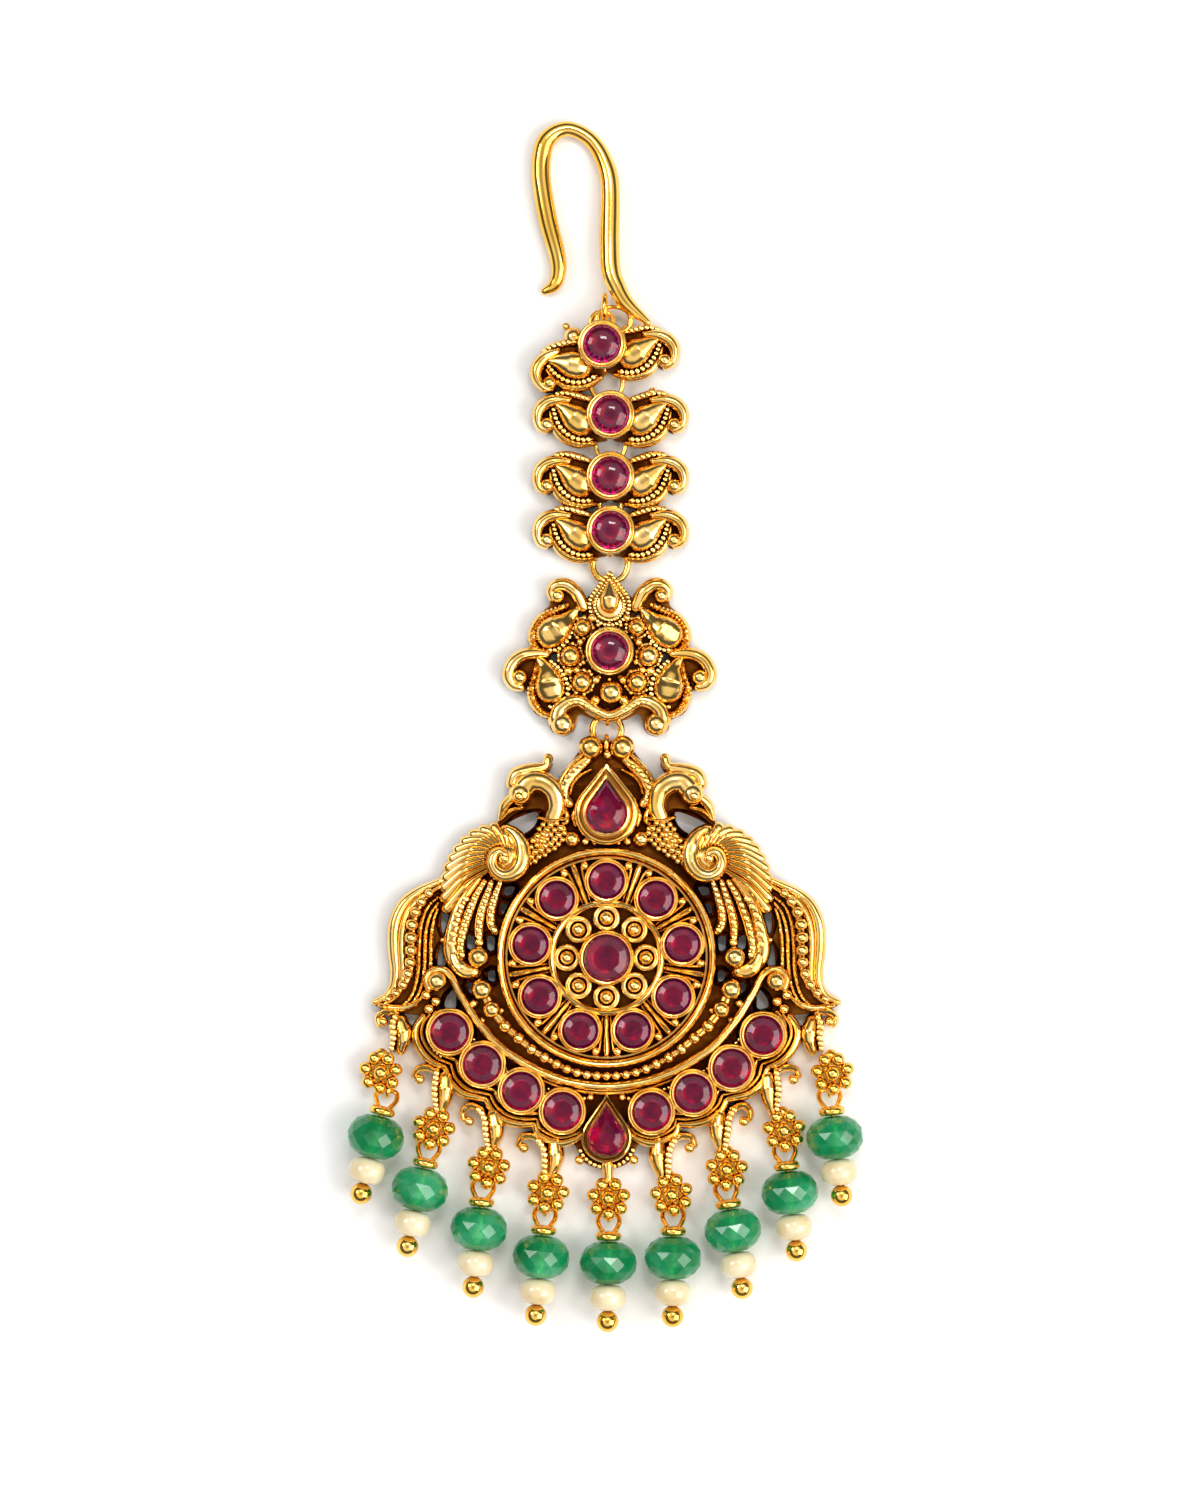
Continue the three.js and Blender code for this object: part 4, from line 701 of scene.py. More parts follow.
SCALLOP_RIM = [[(18.3, -5.9), (19.0, -6.9), (19.1, -8.1), (18.5, -9.4), (17.5, -10.4), (16.2, -11.0)],
               [(16.1, -11.1), (15.6, -12.5), (14.4, -13.6), (12.9, -14.0), (12.1, -14.2)],
               [(12.0, -14.3), (11.4, -15.4), (10.2, -16.3), (8.6, -16.7), (7.3, -16.7)],
               [(7.2, -16.8), (6.9, -17.6), (6.0, -18.2), (4.6, -18.6), (3.1, -18.2), (2.5, -17.7)]]


def crescent(skin):
    for side in (1, -1):
        for x, y, radius, height in RAIL_BALLS:
            ball(skin, (x * side, y, height), radius, 24, 13)
        for x, y, radius in RAIL_GRAINS:
            ball(skin, (x * side, y, 2.15), radius, 16, 9)
        seat = [row[:2] for row in RAIL_BALLS[1:3] + RAIL_GRAINS] + [(0, -11.85)]
        sweep(skin, at(seat, side), [1.1, 0.9, 0.75, 0.7], 1, 1.7)
        for rim in SCALLOP_RIM:
            sweep(skin, at(rim, side), [0.8, 1.0, 1.0, 0.8], 0.4, [2.3, 2.45, 2.3])
            for share, wide in ((0.965, 0.5), (0.93, 0.8)):
                sweep(skin, at(np.array(rim) * share, side), [wide * 0.7, wide, wide * 0.7], 1, 2.4)
        ball(skin, (1.6 * side, -14.0, 1.9), 0.36)
        ball(skin, (2.7 * side, -20.3, 1.5), 0.5)
        ball(skin, (2.25 * side, -14.1, 1.8), 0.26)
        grains(skin, at([(14.9, -5.6), (13.9, -7.4), (12.6, -9), (10.9, -10.6), (9, -11.8), (6.9, -12.8), (4.6, -13.5),
                         (2.6, -13.7)], side), [0.2, 0.2], 1.75, 1.2)
        grains(skin, at([(17.4, -5.4), (17.8, -6.4), (17.95, -7.6), (17.5, -9), (16.6, -9.9)], side), [0.17, 0.17], 1.75, 1.3)
    rail = np.vstack([at(RAIL), at(RAIL, -1)[::-1][1:]])
    sweep(skin, rail, [0.8, 1.0, 1.05, 1.05, 1.05, 1.0, 0.8], 1, 2.85, around=13)
    low_rail = np.vstack([at([(8.2, -11.35), (6.0, -12.45), (3.5, -13.2), (0, -13.55)]),
                          at([(3.5, -13.2), (6.0, -12.45), (8.2, -11.35)], -1)])
    sweep(skin, low_rail, [0.3, 0.5, 0.55, 0.5, 0.3], 1, 2.4)
    ball(skin, (0, -11.85, 2.15), 0.48, 16, 9)
    arc = [(2.9 * math.sin(a), -18.1 - 2.9 * math.cos(a)) for a in np.linspace(-1.2, 1.2, 9)]
    grains(skin, arc, [0.24, 0.24], 1.6, 1.05)
    sweep(skin, [(0.1, -20.7), (0.2, -22.3)], [1.4, 1.0], 0.6, 2.3)


# Finials under the crescent, right half: leaf, ribbed edge, curl and its ball.
FINIALS = [
    dict(leaf=[(20.6, -6.5), (20.3, -7.8), (20.6, -9.3)], rib=[(21.0, -5.7), (21.4, -6.6), (21.3, -7.7), (21.5, -9.3)],
         curl=[(20.9, -6.1), (21.3, -5.55), (22.2, -5.45), (22.9, -6.0), (22.75, -6.75)], ball=(22.35, -6.4)),
    dict(leaf=[(16.1, -12.0), (16.2, -13.6), (16.6, -15.4)],
         rib=[(16.95, -11.25), (17.1, -12.25), (17.2, -13.45), (17.0, -15.2)],
         curl=[(17.1, -11.4), (17.95, -11.0), (18.9, -11.2), (19.25, -11.85)], ball=(18.7, -12.2)),
    dict(leaf=[(11.3, -15.8), (11.1, -17.3), (11.4, -19.0)],
         rib=[(13.0, -15.0), (12.4, -15.65), (12.15, -16.6), (12.1, -17.5), (11.8, -19.2)],
         curl=[(12.5, -15.15), (13.65, -14.8), (14.35, -15.4), (14.3, -16.2)], ball=(13.75, -16.4)),
    dict(leaf=[(5.2, -18.6), (5.15, -20.2), (5.7, -22.0)],
         rib=[(7.0, -18.1), (6.4, -18.9), (6.2, -19.9), (6.2, -21), (6.1, -22.2)],
         curl=[(6.6, -18.4), (7.5, -17.85), (8.45, -18.0), (8.85, -18.8)], ball=(8.3, -19.05)),
]


def finial(skin, side, row):
    put = lambda points: at(points, side)
    sweep(skin, put(row["leaf"]), [1.7, 2.0, 1.7, 1.2], 0.1, [2.5, 2.8, 2.6, 2.2], around=15)
    sweep(skin, put(row["rib"]), [0.75, 0.85, 0.8, 0.55], 0.2, [2.5, 2.6, 2.5, 2.2])
    grains(skin, put(row["rib"]), [0.3, 0.4, 0.38, 0.25], 2.55, 0.72)
    sweep(skin, put(row["curl"]), [0.75, 0.9, 0.85, 0.7], 0.3, [2.3, 2.6, 2.3])
    x, y = put(row["ball"])
    ball(skin, (x, y, 1.9), 0.52)


# Drops from left to right: rosette, cap and the lean of the drop from straight down, in degrees.
DROPS = [((-22.6, -11.5), (-22.4, -15.4), -14.5), ((-17.3, -17.1), (-18.1, -20.6), -12.2),
         ((-11.8, -21), (-12.5, -24.5), -5.6), ((-5.9, -23.5), (-6.3, -27.3), -5.3), ((0.2, -24.1), (0.2, -27.9), -0.7),
         ((6.5, -23.7), (6.65, -27.4), -0.4), ((12, -21.2), (12.2, -24.7), 9.1), ((17.75, -17.3), (18, -20.9), 6.6),
         ((22.6, -11.6), (22.5, -15.4), 6.6)]
LOBES = 7
DROP_HEIGHT = 2.87
LOOP_LENGTH = 2.1
EYE_HEIGHT = 1


def rosette(skin, number, centre, cap, lean):
    phase = math.atan2(cap[1] - centre[1], cap[0] - centre[0]) + 0.1 * (number % 3 - 1)
    for x, y in circle(centre, 1.55, LOBES, phase):
        ball(skin, (x, y, 2.05), 0.68)
    ball(skin, (centre[0], centre[1], 2.35), 0.76, 20, 11)
    stem = np.array(centre) + 1.75 * np.array((-math.cos(phase), -math.sin(phase)))
    ball(skin, (stem[0], stem[1], 1.5), 0.68)
    lathe(skin, [(0, 1.0), (1.35, 1.0), (1.45, 1.15), (1.35, 1.3), (0, 1.3)], centre, 32)
    down = np.array((math.sin(math.radians(lean)), -math.cos(math.radians(lean))))
    eye = np.array(cap) - down * LOOP_LENGTH
    torus(skin, (eye[0], eye[1], EYE_HEIGHT), 0.6, 0.22, (-down[1], down[0], 0), 24, 8)


def pendant():
    pendant_plate()
    wheel()
    crown()
    birds = Skin()
    wings = Skin()
    tails = Skin()
    foot = Skin()
    flowers = Skin()
    for side in (1, -1):
        peacock(birds, side)
        wing(wings, side)
        tail(tails, side)
        for row in FINIALS:
            finial(foot, side, row)
    crescent(foot)
    for number, (centre, cap, lean) in enumerate(DROPS):
        rosette(flowers, number, centre, cap, lean)
    torus(foot, (0, 21.3, 1.1), 0.82, 0.28, (1, 0, 0), 24, 10)
    make("peacocks", birds, antique, ["pendant"])
    make("wings", wings, antique, ["pendant"])
    make("tails", tails, antique, ["pendant"])
    make("crescent_and_finials", foot, antique, ["pendant"])
    make("rosettes", flowers, polished, ["pendant"])


# Cut stones: facets round a table, over a shallow foiled back.
def round_stone(skin, centre, radius, low, top, sides=8, phase=0.0):
    """A round stone: a girdle, kite and triangle facets, and a flat table."""
    rows = []
    back = top - 1.6
    levels = [(0.4, max(low, back), 0, 1), (0.86, top - 1.0, 0, 2), (1.0, top - 0.62, 0, 2), (1.0, top - 0.55, 0, 2),
              (0.86, top - 0.22, 0, 2), (0.58, top, 0, 2)]
    for share, height, _, _ in levels:
        ring = circle(centre, radius * share, sides * 2, phase)
        if share == 0.58:
            mids = (ring[1::2] + np.roll(ring[1::2], 1, axis=0)) / 2
            ring[0::2] = mids
        rows.append(np.column_stack([ring, np.full(sides * 2, height)]))
    skin.rings(rows)


def dome_stone(skin, centre, radius, low, top):
    """A round stone with a smooth dome over an eight-sided back."""
    around = 48
    angle = np.linspace(0, 2 * math.pi, around, endpoint=False)
    eighth = math.pi / 4
    facet = math.cos(eighth / 2) / np.cos(angle % eighth - eighth / 2)
    girdle = top - 0.8
    back = max(low, girdle - 0.9)
    rows = [(0.35, back, facet), (0.97, girdle - 0.15, facet), (1, girdle, 1)]
    rows += [(math.cos(a), girdle + 0.8 * math.sin(a), 1) for a in np.linspace(0.12, 1.54, 11)]
    skin.rings([np.column_stack([centre[0] + radius * share * form * np.cos(angle),
                                 centre[1] + radius * share * form * np.sin(angle),
                                 np.full(around, height)]) for share, height, form in rows])


def backing(skin, centre, radius, height):
    lathe(skin, [(0, height), (radius, height), (radius, height + 0.1), (0, height + 0.04)], centre, 24)


def drop_stone(skin, drop, low, top):
    tip, round_end, radius = drop
    centre = np.array(round_end) + (0, 0.4)
    outline = drop_outline(tip, round_end, radius, 13)
    rows = [(0.1, low), (0.86, top - 1.2), (1, top - 0.75), (1, top - 0.68), (0.82, top - 0.3), (0.5, top)]
    skin.rings([np.column_stack([centre + (outline - centre) * share, np.full(len(outline), height)])
                for share, height in rows])


CRESCENT_STONES = {"right": [(15.65, -7.7), (12.5, -11), (8.65, -13.5), (4.5, -15.35)],
                   "left": [(-15.65, -7.4), (-12.4, -10.65), (-8.5, -13.3), (-4.4, -15.3)]}


def jewels():
    for k in range(WHEEL_STONES):
        node = f"ruby_wheel_{k + 1}"
        x, y, _ = parts(middle(node))
        stone = Skin()
        round_stone(stone, (x, y), RUBY_RADIUS, 1.9, 3.4, phase=0.2 + k)
        make(node + "_cut", stone, ruby, [node], angle=12)
    back = Skin()
    for k in range(WHEEL_STONES):
        x, y, _ = parts(middle(f"ruby_wheel_{k + 1}"))
        backing(back, (x, y), RUBY_RADIUS, 1.76)
    backing(back, (0, 0), 2.25, 2.2)
    stone = Skin()
    round_stone(stone, (0, 0), 2.35, 2.35, 4.3)
    make("ruby_centre_cut", stone, ruby, ["ruby_centre"], angle=12)
    for node, drop in (("ruby_crown", CROWN_DROP), ("ruby_foot", FOOT_DROP)):
        stone = Skin()
        drop_stone(stone, drop, 2.3, 4.1)
        make(node + "_cut", stone, ruby, [node], angle=12)
        shell(back, drop_outline(*drop), drop[1], 1.9, 2.1)
    for hand, row in CRESCENT_STONES.items():
        node = f"stones_crescent_{hand}"
        collars = Skin()
        stones = Skin()
        sweep(collars, row, [2.0] * 4, PLATE_TOP, 1.65)
        for k, centre in enumerate(row):
            bezel(collars, centre, CRESCENT_RADIUS, PLATE_TOP + 0.1, BEZEL_TOP, 0.5)
            round_stone(stones, centre, CRESCENT_RADIUS, 1.9, 3.4, phase=0.4 + k)
            backing(back, centre, CRESCENT_RADIUS, 1.76)
        make(node + "_collars", collars, antique, [node])
        make(node + "_cut", stones, ruby, [node], angle=12)
    make("foil_backs", back, foil, ["pendant"])


# Link wing, right side, about the link's ruby.
WING_PLATE = [(0, 2.0), (2.1, 1.6), (3.0, 2.1), (4, 2.4), (4.9, 2.5), (5.8, 2.2), (6.5, 1.7), (7.4, 0.8), (7.6, -0.5),
              (7.1, -1.6), (6.2, -1.85), (5.6, -1.4), (5.1, -0.6), (4.7, -1.8), (4, -2.75), (3.2, -3.05), (2.2, -3.05),
              (1.2, -2.7), (0, -2.0)]
WING_BEADS = [(2.1, 1.55), (3, 1.85), (3.9, 2.1), (4.7, 2.2), (5.4, 2.1)]
WING_LEAF = [(5.35, 1.0), (4.7, 0.6), (3.85, -0.1), (3.0, -0.75)]
WING_CURL = [(4.2, 1.5), (5.4, 1.55), (6.5, 1.2), (7.15, 0.5), (7.3, -0.4), (7.05, -1.2), (6.5, -1.5)]
WING_EDGE = [(5.75, 0.75), (5.4, -0.45), (4.8, -1.45), (3.9, -2.15), (2.9, -2.45), (1.9, -2.4)]
WING_BAND = [(6.0, 0.3), (5.75, -0.9), (5.1, -2.0), (4.0, -2.7), (2.8, -2.95), (1.5, -2.8)]


def link_wing(skin, side, centre, degrees):
    put = lambda points: at(points, side, centre, degrees)
    sweep(skin, put(WING_BEADS), [0.7, 0.9, 0.7], 1, 2.2)
    grains(skin, put(WING_BEADS), [0.24, 0.28, 0.24], 2.35, 0.98)
    sweep(skin, put(WING_LEAF), [0.9, 2.0, 2.9, 3.0], 0.8, [2.8, 3.1, 3.4, 3.3], around=15)
    sweep(skin, put(WING_CURL), [0.8, 1.2, 1.45, 1.4, 1.2, 1.0, 0.8], 0.8, [2.8, 3.0, 3.0, 2.9, 2.6], around=13)
    x, y = put((6.35, -0.95))
    ball(skin, (x, y, 2.35), 0.7, 20, 11)
    sweep(skin, put(WING_EDGE), [0.5, 0.6, 0.5], 1, 2.1)
    grains(skin, put(WING_EDGE), [0.22, 0.3, 0.26], 2.35, 0.95)
    sweep(skin, put(WING_BAND), [0.6, 0.8, 0.9, 0.8, 0.6], 0.6, [2.2, 2.4, 2.4])


def link(number, turns, lift):
    name = f"link_{number}"
    centre = np.array(parts(middle(f"ruby_{name}"))[:2])
    base = Skin()
    skin = Skin()
    for side in (1, -1):
        degrees = turns[0] if side > 0 else turns[1]
        outline = smooth(at(WING_PLATE, side, centre, degrees), 0.3, closed=True)
        plate(base, outline, [], 0.35, 1.7)
        link_wing(skin, side, centre, degrees)
    lathe(base, [(0, 0), (1.05, 0), (1.1, 0.1), (1.1, 1), (2.15, 1.3), (2.15, 2.6 + lift), (0, 2.6 + lift)], centre, 40)
    bezel(skin, centre, 1.85, 1.8, 3.65 + lift)
    if lift:
        ball(skin, (centre[0] - 2.85, centre[1] + 0.9, 1.7), 1.0, 20, 11)
        ball(skin, (centre[0] + 2.4, centre[1] + 1.6, 1.6), 0.5)
        ball(skin, (centre[0] - 3.6, centre[1] + 2.0, 1.2), 0.4)
    if number == 2:
        ball(skin, (centre[0] + 4.2, centre[1] + 2.3, 2.2), 0.45)
    make(name + "_plate", base, ground, [name])
    make(name + "_relief", skin, antique, [name])
    eyes = Skin()
    chain_eyes(eyes, name)
    make(name + "_eyes", eyes, polished, [name])
    stone = Skin()
    dome_stone(stone, centre, 1.85, 2.8 + lift, 4.25 + lift)
    make(f"ruby_{name}_cut", stone, ruby, [f"ruby_{name}"], angle=20)
    back = Skin()
    backing(back, centre, 1.85, 2.65 + lift)
    make(f"foil_{name}", back, foil, [name])


# Rings of the chain: which bodies each joins, lower and upper, and how far the eyes stand.
CHAIN = [("ring_medallion_pendant", "pendant", "medallion", 1.45, 0.34), ("ring_4_medallion", "medallion", "link_4", 1.75, 0.34),
         ("ring_3_4", "link_4", "link_3", 1.11, 0.24), ("ring_2_3", "link_3", "link_2", 1.46, 0.24),
         ("ring_1_2", "link_2", "link_1", 1.6, 0.24)]


def chain_eyes(skin, name):
    """The upright eyes that a body holds its rings with, and the bars to its middle."""
    for ring, lower, upper, radius, wire in CHAIN:
        if name not in (lower, upper):
            continue
        place = np.array(parts(middle(ring))[:2])
        home = np.array(parts(middle(f"ruby_{name}"))[:2])
        way = (home - place) / np.linalg.norm(home - place)
        eye = place + way * radius
        wide = wire > 0.3
        reach, thick = (0.82, 0.28) if wide else (0.6, 0.22)
        torus(skin, (eye[0], eye[1], max(EYE_HEIGHT, reach + thick)), reach, thick, (-way[1], way[0], 0), 28, 10)
        end = eye + way * reach
        sweep(skin, [end, home], [0.55, 0.6], 0.5, 1.3)


def rings():
    for name, _, _, radius, wire in CHAIN:
        skin = Skin()
        x, y, z = parts(middle(name))
        torus(skin, (x, y, z), radius, wire, around=56)
        make(name + "_wire", skin, polished, [name])
    skin = Skin()
    torus(skin, parts(middle("ring_top")), 1.3, 0.3, (1, 0, 0), 48)
    make("ring_top_wire", skin, polished, ["ring_top"])


# Medallion, right half, about its ruby.
MEDALLION_OUTLINE = [(0, 8.1), (1, 6.9), (2.2, 5.4), (2.7, 5.0), (3.1, 6.2), (4.3, 7.25), (5.6, 7.0), (6.25, 6),
                     (6, 4.7), (6.9, 3.8), (7.8, 2.6), (8.1, 1.2), (7.7, 0.3), (8.8, 0.05), (10, -0.8), (10.45, -2.3),
                     (10, -3.7), (8.9, -4.1), (8.2, -3.9), (8.1, -5.1), (7.4, -6.3), (6.2, -6.9), (5.8, -8),
                     (4.6, -8.55), (3.5, -7.9), (3.0, -6.4), (1.6, -6.9), (0, -7.1)]
MEDALLION_GAPS = [[(2.5, 3.9), (3.2, 4.1), (3.3, 3.2), (2.7, 3)], [(5.3, -0.4), (5.9, -0.3), (5.8, -1), (5.3, -1)],
                  [(2.1, -2.1), (2.5, -2.2), (2.5, -2.7), (2.1, -2.6)]]
UPPER_SCROLL = [(2.6, 4.4), (3.3, 5.8), (4.3, 6.6), (5.3, 6.6), (5.85, 6.0), (5.7, 5.3)]
SIDE_SCROLL = [(6.3, -0.3), (7.3, -0.2), (8.6, -0.4), (9.6, -1.1), (10.1, -2.3), (9.7, -3.3), (8.9, -3.6)]
UPPER_BAND = [(4.3, 4.6), (5.5, 4.0), (6.9, 3.2), (7.6, 2.0), (7.6, 1.0), (7.1, 0.1), (5.9, 0)]
LOWER_BAND = [(7.3, -1.4), (7.5, -2.6), (7.8, -3.8), (7.6, -5.0), (6.9, -6.0), (6.1, -6.4)]
PAISLEYS = [[(5.9, 1.75), (5.1, 2.3), (4.2, 3.1), (3.3, 4.1)], [(5.9, -3.7), (6.1, -2.8), (6.5, -1.7), (7.1, -0.8)]]
PAISLEY_RIMS = [[(2.9, 3.1), (3.7, 2.2), (4.2, 1.1), (5.1, 0.2), (6.2, 0.1)],
                [(6.0, -0.9), (5.0, -1.8), (4.3, -3.0), (4.2, -4.3), (5.0, -5.4), (6.2, -5.6)]]
MOUSTACHE = [(0, -6.5), (1.5, -5.9), (2.9, -5.0), (4.0, -5.1), (5.0, -5.8), (5.3, -6.8)]
MEDALLION_BALLS = [(3.9, -0.5, 1.05), (2.75, -3.1, 1.0), (2.7, 2.3, 0.85), (1.4, -4.9, 0.5), (4.1, -2.0, 0.5),
                   (1.35, -2.9, 0.45), (2.9, 0.9, 0.4), (3.3, -1.9, 0.4), (1.75, 3.3, 0.4)]


def medallion():
    centre = np.array(parts(middle("ruby_medallion"))[:2])
    base = Skin()
    skin = Skin()
    gaps = [smooth(at(gap, side, centre), 0.4, closed=True) for gap in MEDALLION_GAPS for side in (1, -1)]
    plate(base, whole(MEDALLION_OUTLINE) + centre, gaps, 0.35, 1.6)
    for side in (1, -1):
        put = lambda points: at(points, side, centre)
        sweep(skin, put(UPPER_SCROLL), [1.3, 1.5, 1.5, 1.3, 0.9], 0.7, [2.3, 2.8, 2.8, 2.4], around=13)
        sweep(skin, put(SIDE_SCROLL), [1.0, 1.4, 1.5, 1.4, 1.0], 0.7, [2.3, 2.8, 2.8, 2.4], around=13)
        for band in (UPPER_BAND, LOWER_BAND):
            sweep(skin, put(band), [0.8, 1.1, 1.1, 0.8], 0.6, [2.4, 2.6, 2.4], ripple=(0.18, 0.42), step=0.1)
        for paisley in PAISLEYS:
            sweep(skin, put(paisley), [3.3, 3.1, 2.5, 1.6, 0.9], 0.8, [3.0, 3.4, 3.1, 2.6, 2.4], around=15)
        for rim in PAISLEY_RIMS:
            grains(skin, put(rim), [0.22, 0.28, 0.22], 2.2, 0.95)
        for place, radius, height in (((5.2, 5.55), 0.72, 2.0), ((9.0, -2.6), 0.76, 2.1), ((4.7, -7.3), 1.2, 1.9)):
            x, y = put(place)
            ball(skin, (x, y, height), radius, 20, 11)
        for x, y, radius in MEDALLION_BALLS:
            x, y = put((x, y))
            ball(skin, (x, y, 2.5 if radius > 0.7 else 2.15), radius, 20, 11)
            if radius > 0.7:
                torus(skin, (x, y, 1.75), radius + 0.1, 0.22, around=28, section=8)
                for petal in circle((x, y), radius + 0.2, 9):
                    ball(skin, (petal[0], petal[1], 1.95), 0.27, 10, 6)
        grains(skin, put([(1.2, -6.1), (2.2, -5.5), (3.2, -5.1), (4.2, -5.3)]), [0.2, 0.26, 0.2], 2.6, 1.2)
    line = np.vstack([at(MOUSTACHE, -1, centre)[::-1], at(MOUSTACHE, 1, centre)[1:]])
    sweep(skin, line, [1.9, 1.6, 1.4, 1.6, 1.9], 0.5, 2.7, around=15)
    x, y = at((0.15, -4.1), centre=centre)
    ball(skin, (x, y, 2.3), 1.18, 24, 13)
    tip, round_end = at((0, 7.9), centre=centre), at((0, 4.6), centre=centre)
    leaf = drop_outline(tip, round_end, 2.15)
    shell(skin, leaf, round_end, 0.6, 2.4, crown=0.25)
    for k, (x, y) in enumerate(circle(centre, 2.85, 16)):
        ball(skin, (x, y, 1.8), 0.34 if k % 2 else 0.26, 12, 7)
    grains(skin, np.vstack([drop_outline(tip, round_end, 2.0), tip]), [0.2, 0.2], 2.2, 1.0)
    grains(skin, np.vstack([drop_outline(tip - (0, 0.7), round_end, 1.5), tip - (0, 0.7)]), [0.16, 0.16], 2.4, 1.0)
    sweep(skin, at([(0, 6.9), (0, 6.2), (0, 5.3), (0, 4.7)], centre=centre), [0.5, 1.3, 2.1, 2.0], 1.5, [2.7, 3.1, 3.5, 3.4],
          around=15)
    bezel(skin, centre, 1.85, 0.8, 3.65)
    lathe(base, [(0, 0.4), (2.1, 0.4), (2.1, 2.6), (0, 2.6)], centre, 40)
    make("medallion_plate", base, ground, ["medallion"])
    make("medallion_relief", skin, antique, ["medallion"])
    eyes = Skin()
    chain_eyes(eyes, "medallion")
    make("medallion_eyes", eyes, polished, ["medallion"])
    stone = Skin()
    dome_stone(stone, centre, 1.85, 2.8, 4.25)
    make("ruby_medallion_cut", stone, ruby, ["ruby_medallion"], angle=20)
    back = Skin()
    backing(back, centre, 1.85, 2.65)
    make("foil_medallion", back, foil, ["medallion"])


# Hook from its tail, about its eye: place, share of the wire's diameter, height in diameters.
WIRE = 2.0
HOOK = [(3.35, -0.25, 0.36, 1.2), (1.25, 1.65, 0.8, 1.15), (0.3, 3.25, 0.92, 1.1), (-0.3, 4.95, 1, 1), (-0.45, 8, 1, 0.83),
        (-0.42, 13.6, 0.95, 0.62), (-1.1, 16.25, 0.86, 0.53), (-2.25, 18.05, 0.78, 0.5), (-3.75, 19.05, 0.75, 0.5),
        (-5.05, 19.2, 0.78, 0.5), (-6.35, 18.55, 0.88, 0.5), (-7.1, 17.25, 0.96, 0.5), (-7.3, 14.5, 0.97, 0.51),
        (-6.65, 10.3, 0.97, 0.51), (-5.65, 6.4, 0.86, 0.5), (-5.6, 4.6, 0.75, 0.47), (-6.1, 3.5, 0.64, 0.4),
        (-6.95, 3.0, 0.4, 0.33)]
HOOK_EYE_FROM_RING = (0.95, -1.2)


def hook():
    ring = parts(middle("ring_top"))
    eye = (ring[0] + HOOK_EYE_FROM_RING[0], ring[1] + HOOK_EYE_FROM_RING[1])
    skin = Skin()
    rows = np.array([(eye[0] + x, eye[1] + y, height * WIRE, share * WIRE / 2) for x, y, share, height in HOOK])
    fine = smooth(rows, 0.3)
    tube(skin, fine[:, :3], list(fine[:, 3]), 20, 10)
    torus(skin, (eye[0], eye[1], 2.3), 1.7, 0.28, squash=2.6 / 3.4, around=48)
    make("hook_wire", skin, polished, ["hook"])


def top_eye():
    ring = parts(middle("ring_top"))
    skin = Skin()
    torus(skin, (ring[0] - 0.25, ring[1] - 1.45, 1.5), 1.15, 0.25, around=40)
    make("link_1_top_eye", skin, polished, ["link_1"])


# Drops: along each from the cap, in parts.
CAP_HALF = 0.35
DROP_GAP = 0.05
BEAD = (2.88, 4.3)
PEARL = (1.85, 2.55)
END_BALL = 1.1
BEAD_RINGS = [(0.2, -1.0), (0.5, -0.94), (0.79, -0.7), (0.96, -0.34), (0.995, 0), (0.96, 0.34), (0.79, 0.7), (0.5, 0.94),
              (0.2, 1.0)]


def along_drop(skin, rows, cap, down, around, phases=None, triangles=False):
    """Rings about the drop's line, from rows of radius and distance from the cap."""
    aside = np.array((-down[1], down[0], 0))
    up = np.array((0, 0, 1))
    start = np.array((cap[0], cap[1], DROP_HEIGHT))
    way = np.array((down[0], down[1], 0))
    points = []
    for i, (radius, distance) in enumerate(rows):
        phase = phases[i] if phases else 0
        angle = phase + np.linspace(0, 2 * math.pi, around, endpoint=False)
        points.append(start + way * distance + max(radius, 0.002) * (np.outer(np.cos(angle), aside) + np.outer(np.sin(angle), up)))
    if not triangles:
        skin.rings(points)
        return
    faces = []
    for i in range(len(rows) - 1):
        a, b = i * around, (i + 1) * around
        ahead = phases[i + 1] > phases[i]
        for k in range(around):
            n = (k + 1) % around
            if ahead:
                faces += [(a + k, a + n, b + k), (a + n, b + n, b + k)]
            else:
                faces += [(a + k, a + n, b + n), (a + k, b + n, b + k)]
    faces.append(tuple(range(around))[::-1])
    faces.append(tuple(range((len(rows) - 1) * around, len(rows) * around)))
    skin.add(np.vstack(points), faces)


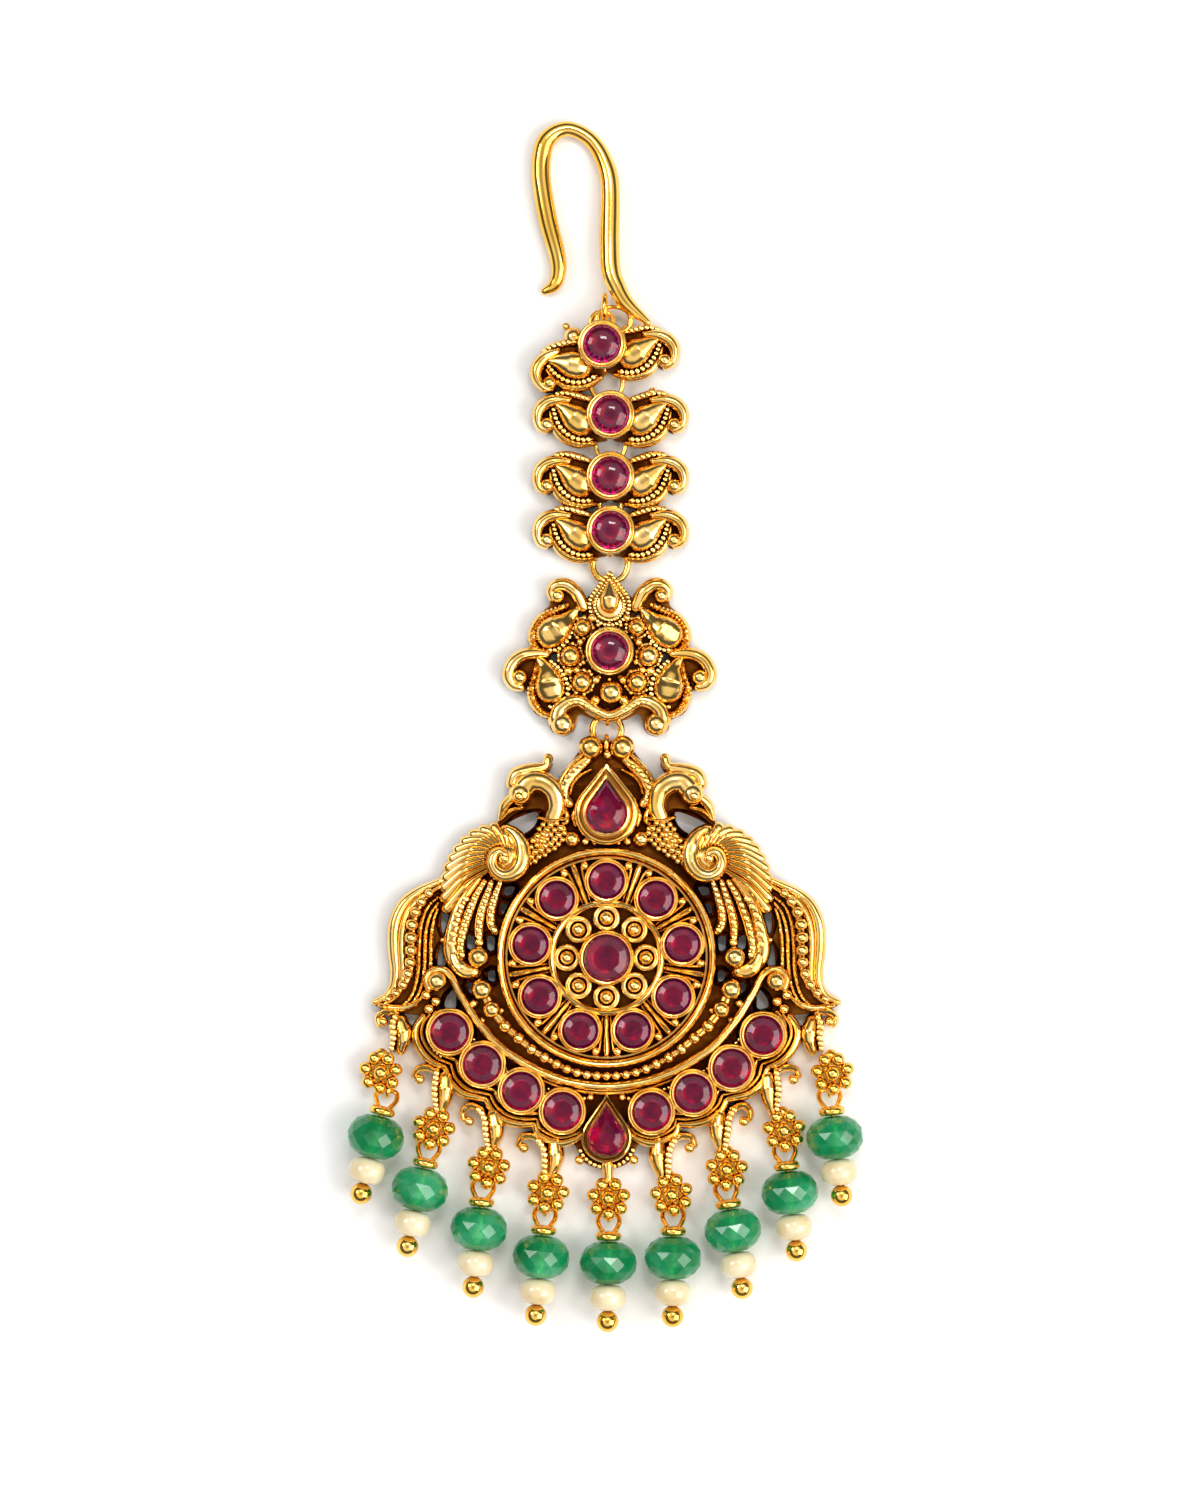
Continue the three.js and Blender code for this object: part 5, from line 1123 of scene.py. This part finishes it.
def drop(number, cap, lean):
    angle = math.radians(lean)
    down = (math.sin(angle), -math.cos(angle))
    bead_middle = CAP_HALF + DROP_GAP + BEAD[1] / 2
    pearl_middle = bead_middle + BEAD[1] / 2 + DROP_GAP + PEARL[1] / 2
    ball_middle = pearl_middle + PEARL[1] / 2 + DROP_GAP + END_BALL - 0.06

    pin = Skin()
    disc = [(0, -0.62), (0.8, -0.6), (1.1, -0.52), (1.27, -0.34), (1.33, -0.1), (1.26, 0.14), (1.08, 0.29), (0.28, 0.34)]
    knob = [(END_BALL * math.cos(a), ball_middle + END_BALL * math.sin(a)) for a in np.linspace(-1.25, 1.55, 13)]
    along_drop(pin, disc + [(0.28, ball_middle - END_BALL - 0.05), (0.34, ball_middle - END_BALL), *knob], cap, down, 32)
    side = np.array((-down[1], down[0]))
    eye = np.array(cap) - np.array(down) * LOOP_LENGTH
    wide = eye + np.array(down) * 0.65
    loop = [(*(np.array(cap) + side * 0.12), DROP_HEIGHT), (*(np.array(cap) - np.array(down) * 0.7 + side * 0.75), 2.0),
            (*(wide + side * 1.08), 1.4), (*(eye + side * 0.75), EYE_HEIGHT), (*(eye - side * 0.75), EYE_HEIGHT),
            (*(wide - side * 1.08), 1.4), (*(np.array(cap) - np.array(down) * 0.7 - side * 0.75), 2.0),
            (*(np.array(cap) - side * 0.12), DROP_HEIGHT)]
    tube(pin, loop, [0.25, 0.25], 12, 0.15)
    make(f"pin_{number}_wire", pin, polished, [f"pin_{number}"])

    bead = Skin()
    half = BEAD[1] / 2
    count = 12
    turn = math.radians(22) + 0.03 * (number % 3)
    phases = [turn + math.pi / count * (i % 2) for i in range(len(BEAD_RINGS))]
    rows = [(share * BEAD[0], bead_middle + place * half) for share, place in BEAD_RINGS]
    along_drop(bead, rows, cap, down, count, phases, triangles=True)
    make(f"bead_{number}_cut", bead, green, [f"bead_{number}"], angle=0)

    pearl_skin = Skin()
    half = PEARL[1] / 2
    rows = [(0.5 + (PEARL[0] - 0.5) * math.cos(a) ** 0.75, pearl_middle + half * math.sin(a) ** 1)
            for a in np.linspace(-1.56, 1.56, 17)]
    along_drop(pearl_skin, [(0.3, pearl_middle - half * 0.96), *rows, (0.3, pearl_middle + half * 0.96)], cap, down, 32)
    make(f"pearl_{number}_smooth", pearl_skin, pearl, [f"pearl_{number}"], angle=60)


pendant()
jewels()
for number, turns, lift in ((4, (0, 0), 0), (3, (0, 0), 0), (2, (0, 0), 0), (1, (-5, 27), 1.2)):
    link(number, turns, lift)
medallion()
rings()
top_eye()
hook()
for number, (_, cap, lean) in enumerate(DROPS, 1):
    drop(number, cap, lean)


# Table top, camera and lights.
VIEW_CENTRE = (-0.65, 20.75)
VIEW_HEIGHT = 150
LENS = 135
SENSOR = 36
TABLE_HALF = 600


def table():
    mesh = bpy.data.meshes.new("table_top")
    corners = [(x * TABLE_HALF * PART, y * TABLE_HALF * PART, -0.02 * PART) for x, y in ((-1, -1), (1, -1), (1, 1), (-1, 1))]
    mesh.from_pydata(corners, [], [(0, 1, 2, 3)])
    material, tree, shader = new_material("paper_white")
    tone = ramp(tree, noise(tree, 30), [(0.3, (0.9, 0.9, 0.9)), (0.7, (0.93, 0.93, 0.925))])
    tree.links.new(tone, shader.inputs["Base Color"])
    shader.inputs["Roughness"].default_value = 0.9
    mesh.materials.append(material)
    top = bpy.data.objects.new("table_top", mesh)
    bpy.context.scene.collection.objects.link(top)


def camera():
    data = bpy.data.cameras.new("camera")
    data.lens = LENS
    data.sensor_width = SENSOR
    holder = bpy.data.objects.new("camera", data)
    distance = VIEW_HEIGHT * PART * LENS / SENSOR
    holder.location = (VIEW_CENTRE[0] * PART, VIEW_CENTRE[1] * PART, distance + 2 * PART)
    data.clip_start = 0.01
    bpy.context.scene.collection.objects.link(holder)
    bpy.context.scene.camera = holder


def softbox(name, place, target, size, power, colour=(1, 1, 1)):
    data = bpy.data.lights.new(name, "AREA")
    data.shape = "RECTANGLE"
    data.size, data.size_y = size
    data.energy = power
    data.color = colour
    holder = bpy.data.objects.new(name, data)
    holder.location = place
    way = Vector(target) - Vector(place)
    holder.rotation_euler = way.to_track_quat("-Z", "Y").to_euler()
    bpy.context.scene.collection.objects.link(holder)


# Brightness of the studio from the horizon to straight above.
SKY = [(0.0, 0.8), (0.1, 0.6), (0.25, 0.1), (0.6, 0.12), (0.74, 1), (0.93, 1), (0.985, 0.5), (1.0, 0.4)]


def lights():
    target = (0, 0.02, 0)
    softbox("key", (0.42, -0.12, 0.42), target, (0.48, 0.48), 3.1, (1, 0.97, 0.92))
    softbox("fill", (-0.45, 0.2, 0.5), target, (0.25, 0.25), 1.2)
    softbox("over", (0.05, 0.3, 0.62), target, (0.2, 0.08), 0.8)
    world = bpy.data.worlds.new("studio")
    world.use_nodes = True
    tree = world.node_tree
    way = shade_node(tree, "ShaderNodeTexCoord")
    split = shade_node(tree, "ShaderNodeSeparateXYZ")
    tree.links.new(way.outputs["Generated"], split.inputs["Vector"])
    glow = ramp(tree, split.outputs["Z"], [(place, (level,) * 3) for place, level in SKY])
    tree.links.new(glow, tree.nodes["Background"].inputs["Color"])
    bpy.context.scene.world = world


table()
camera()
lights()
bpy.context.scene.view_settings.view_transform = "Standard"
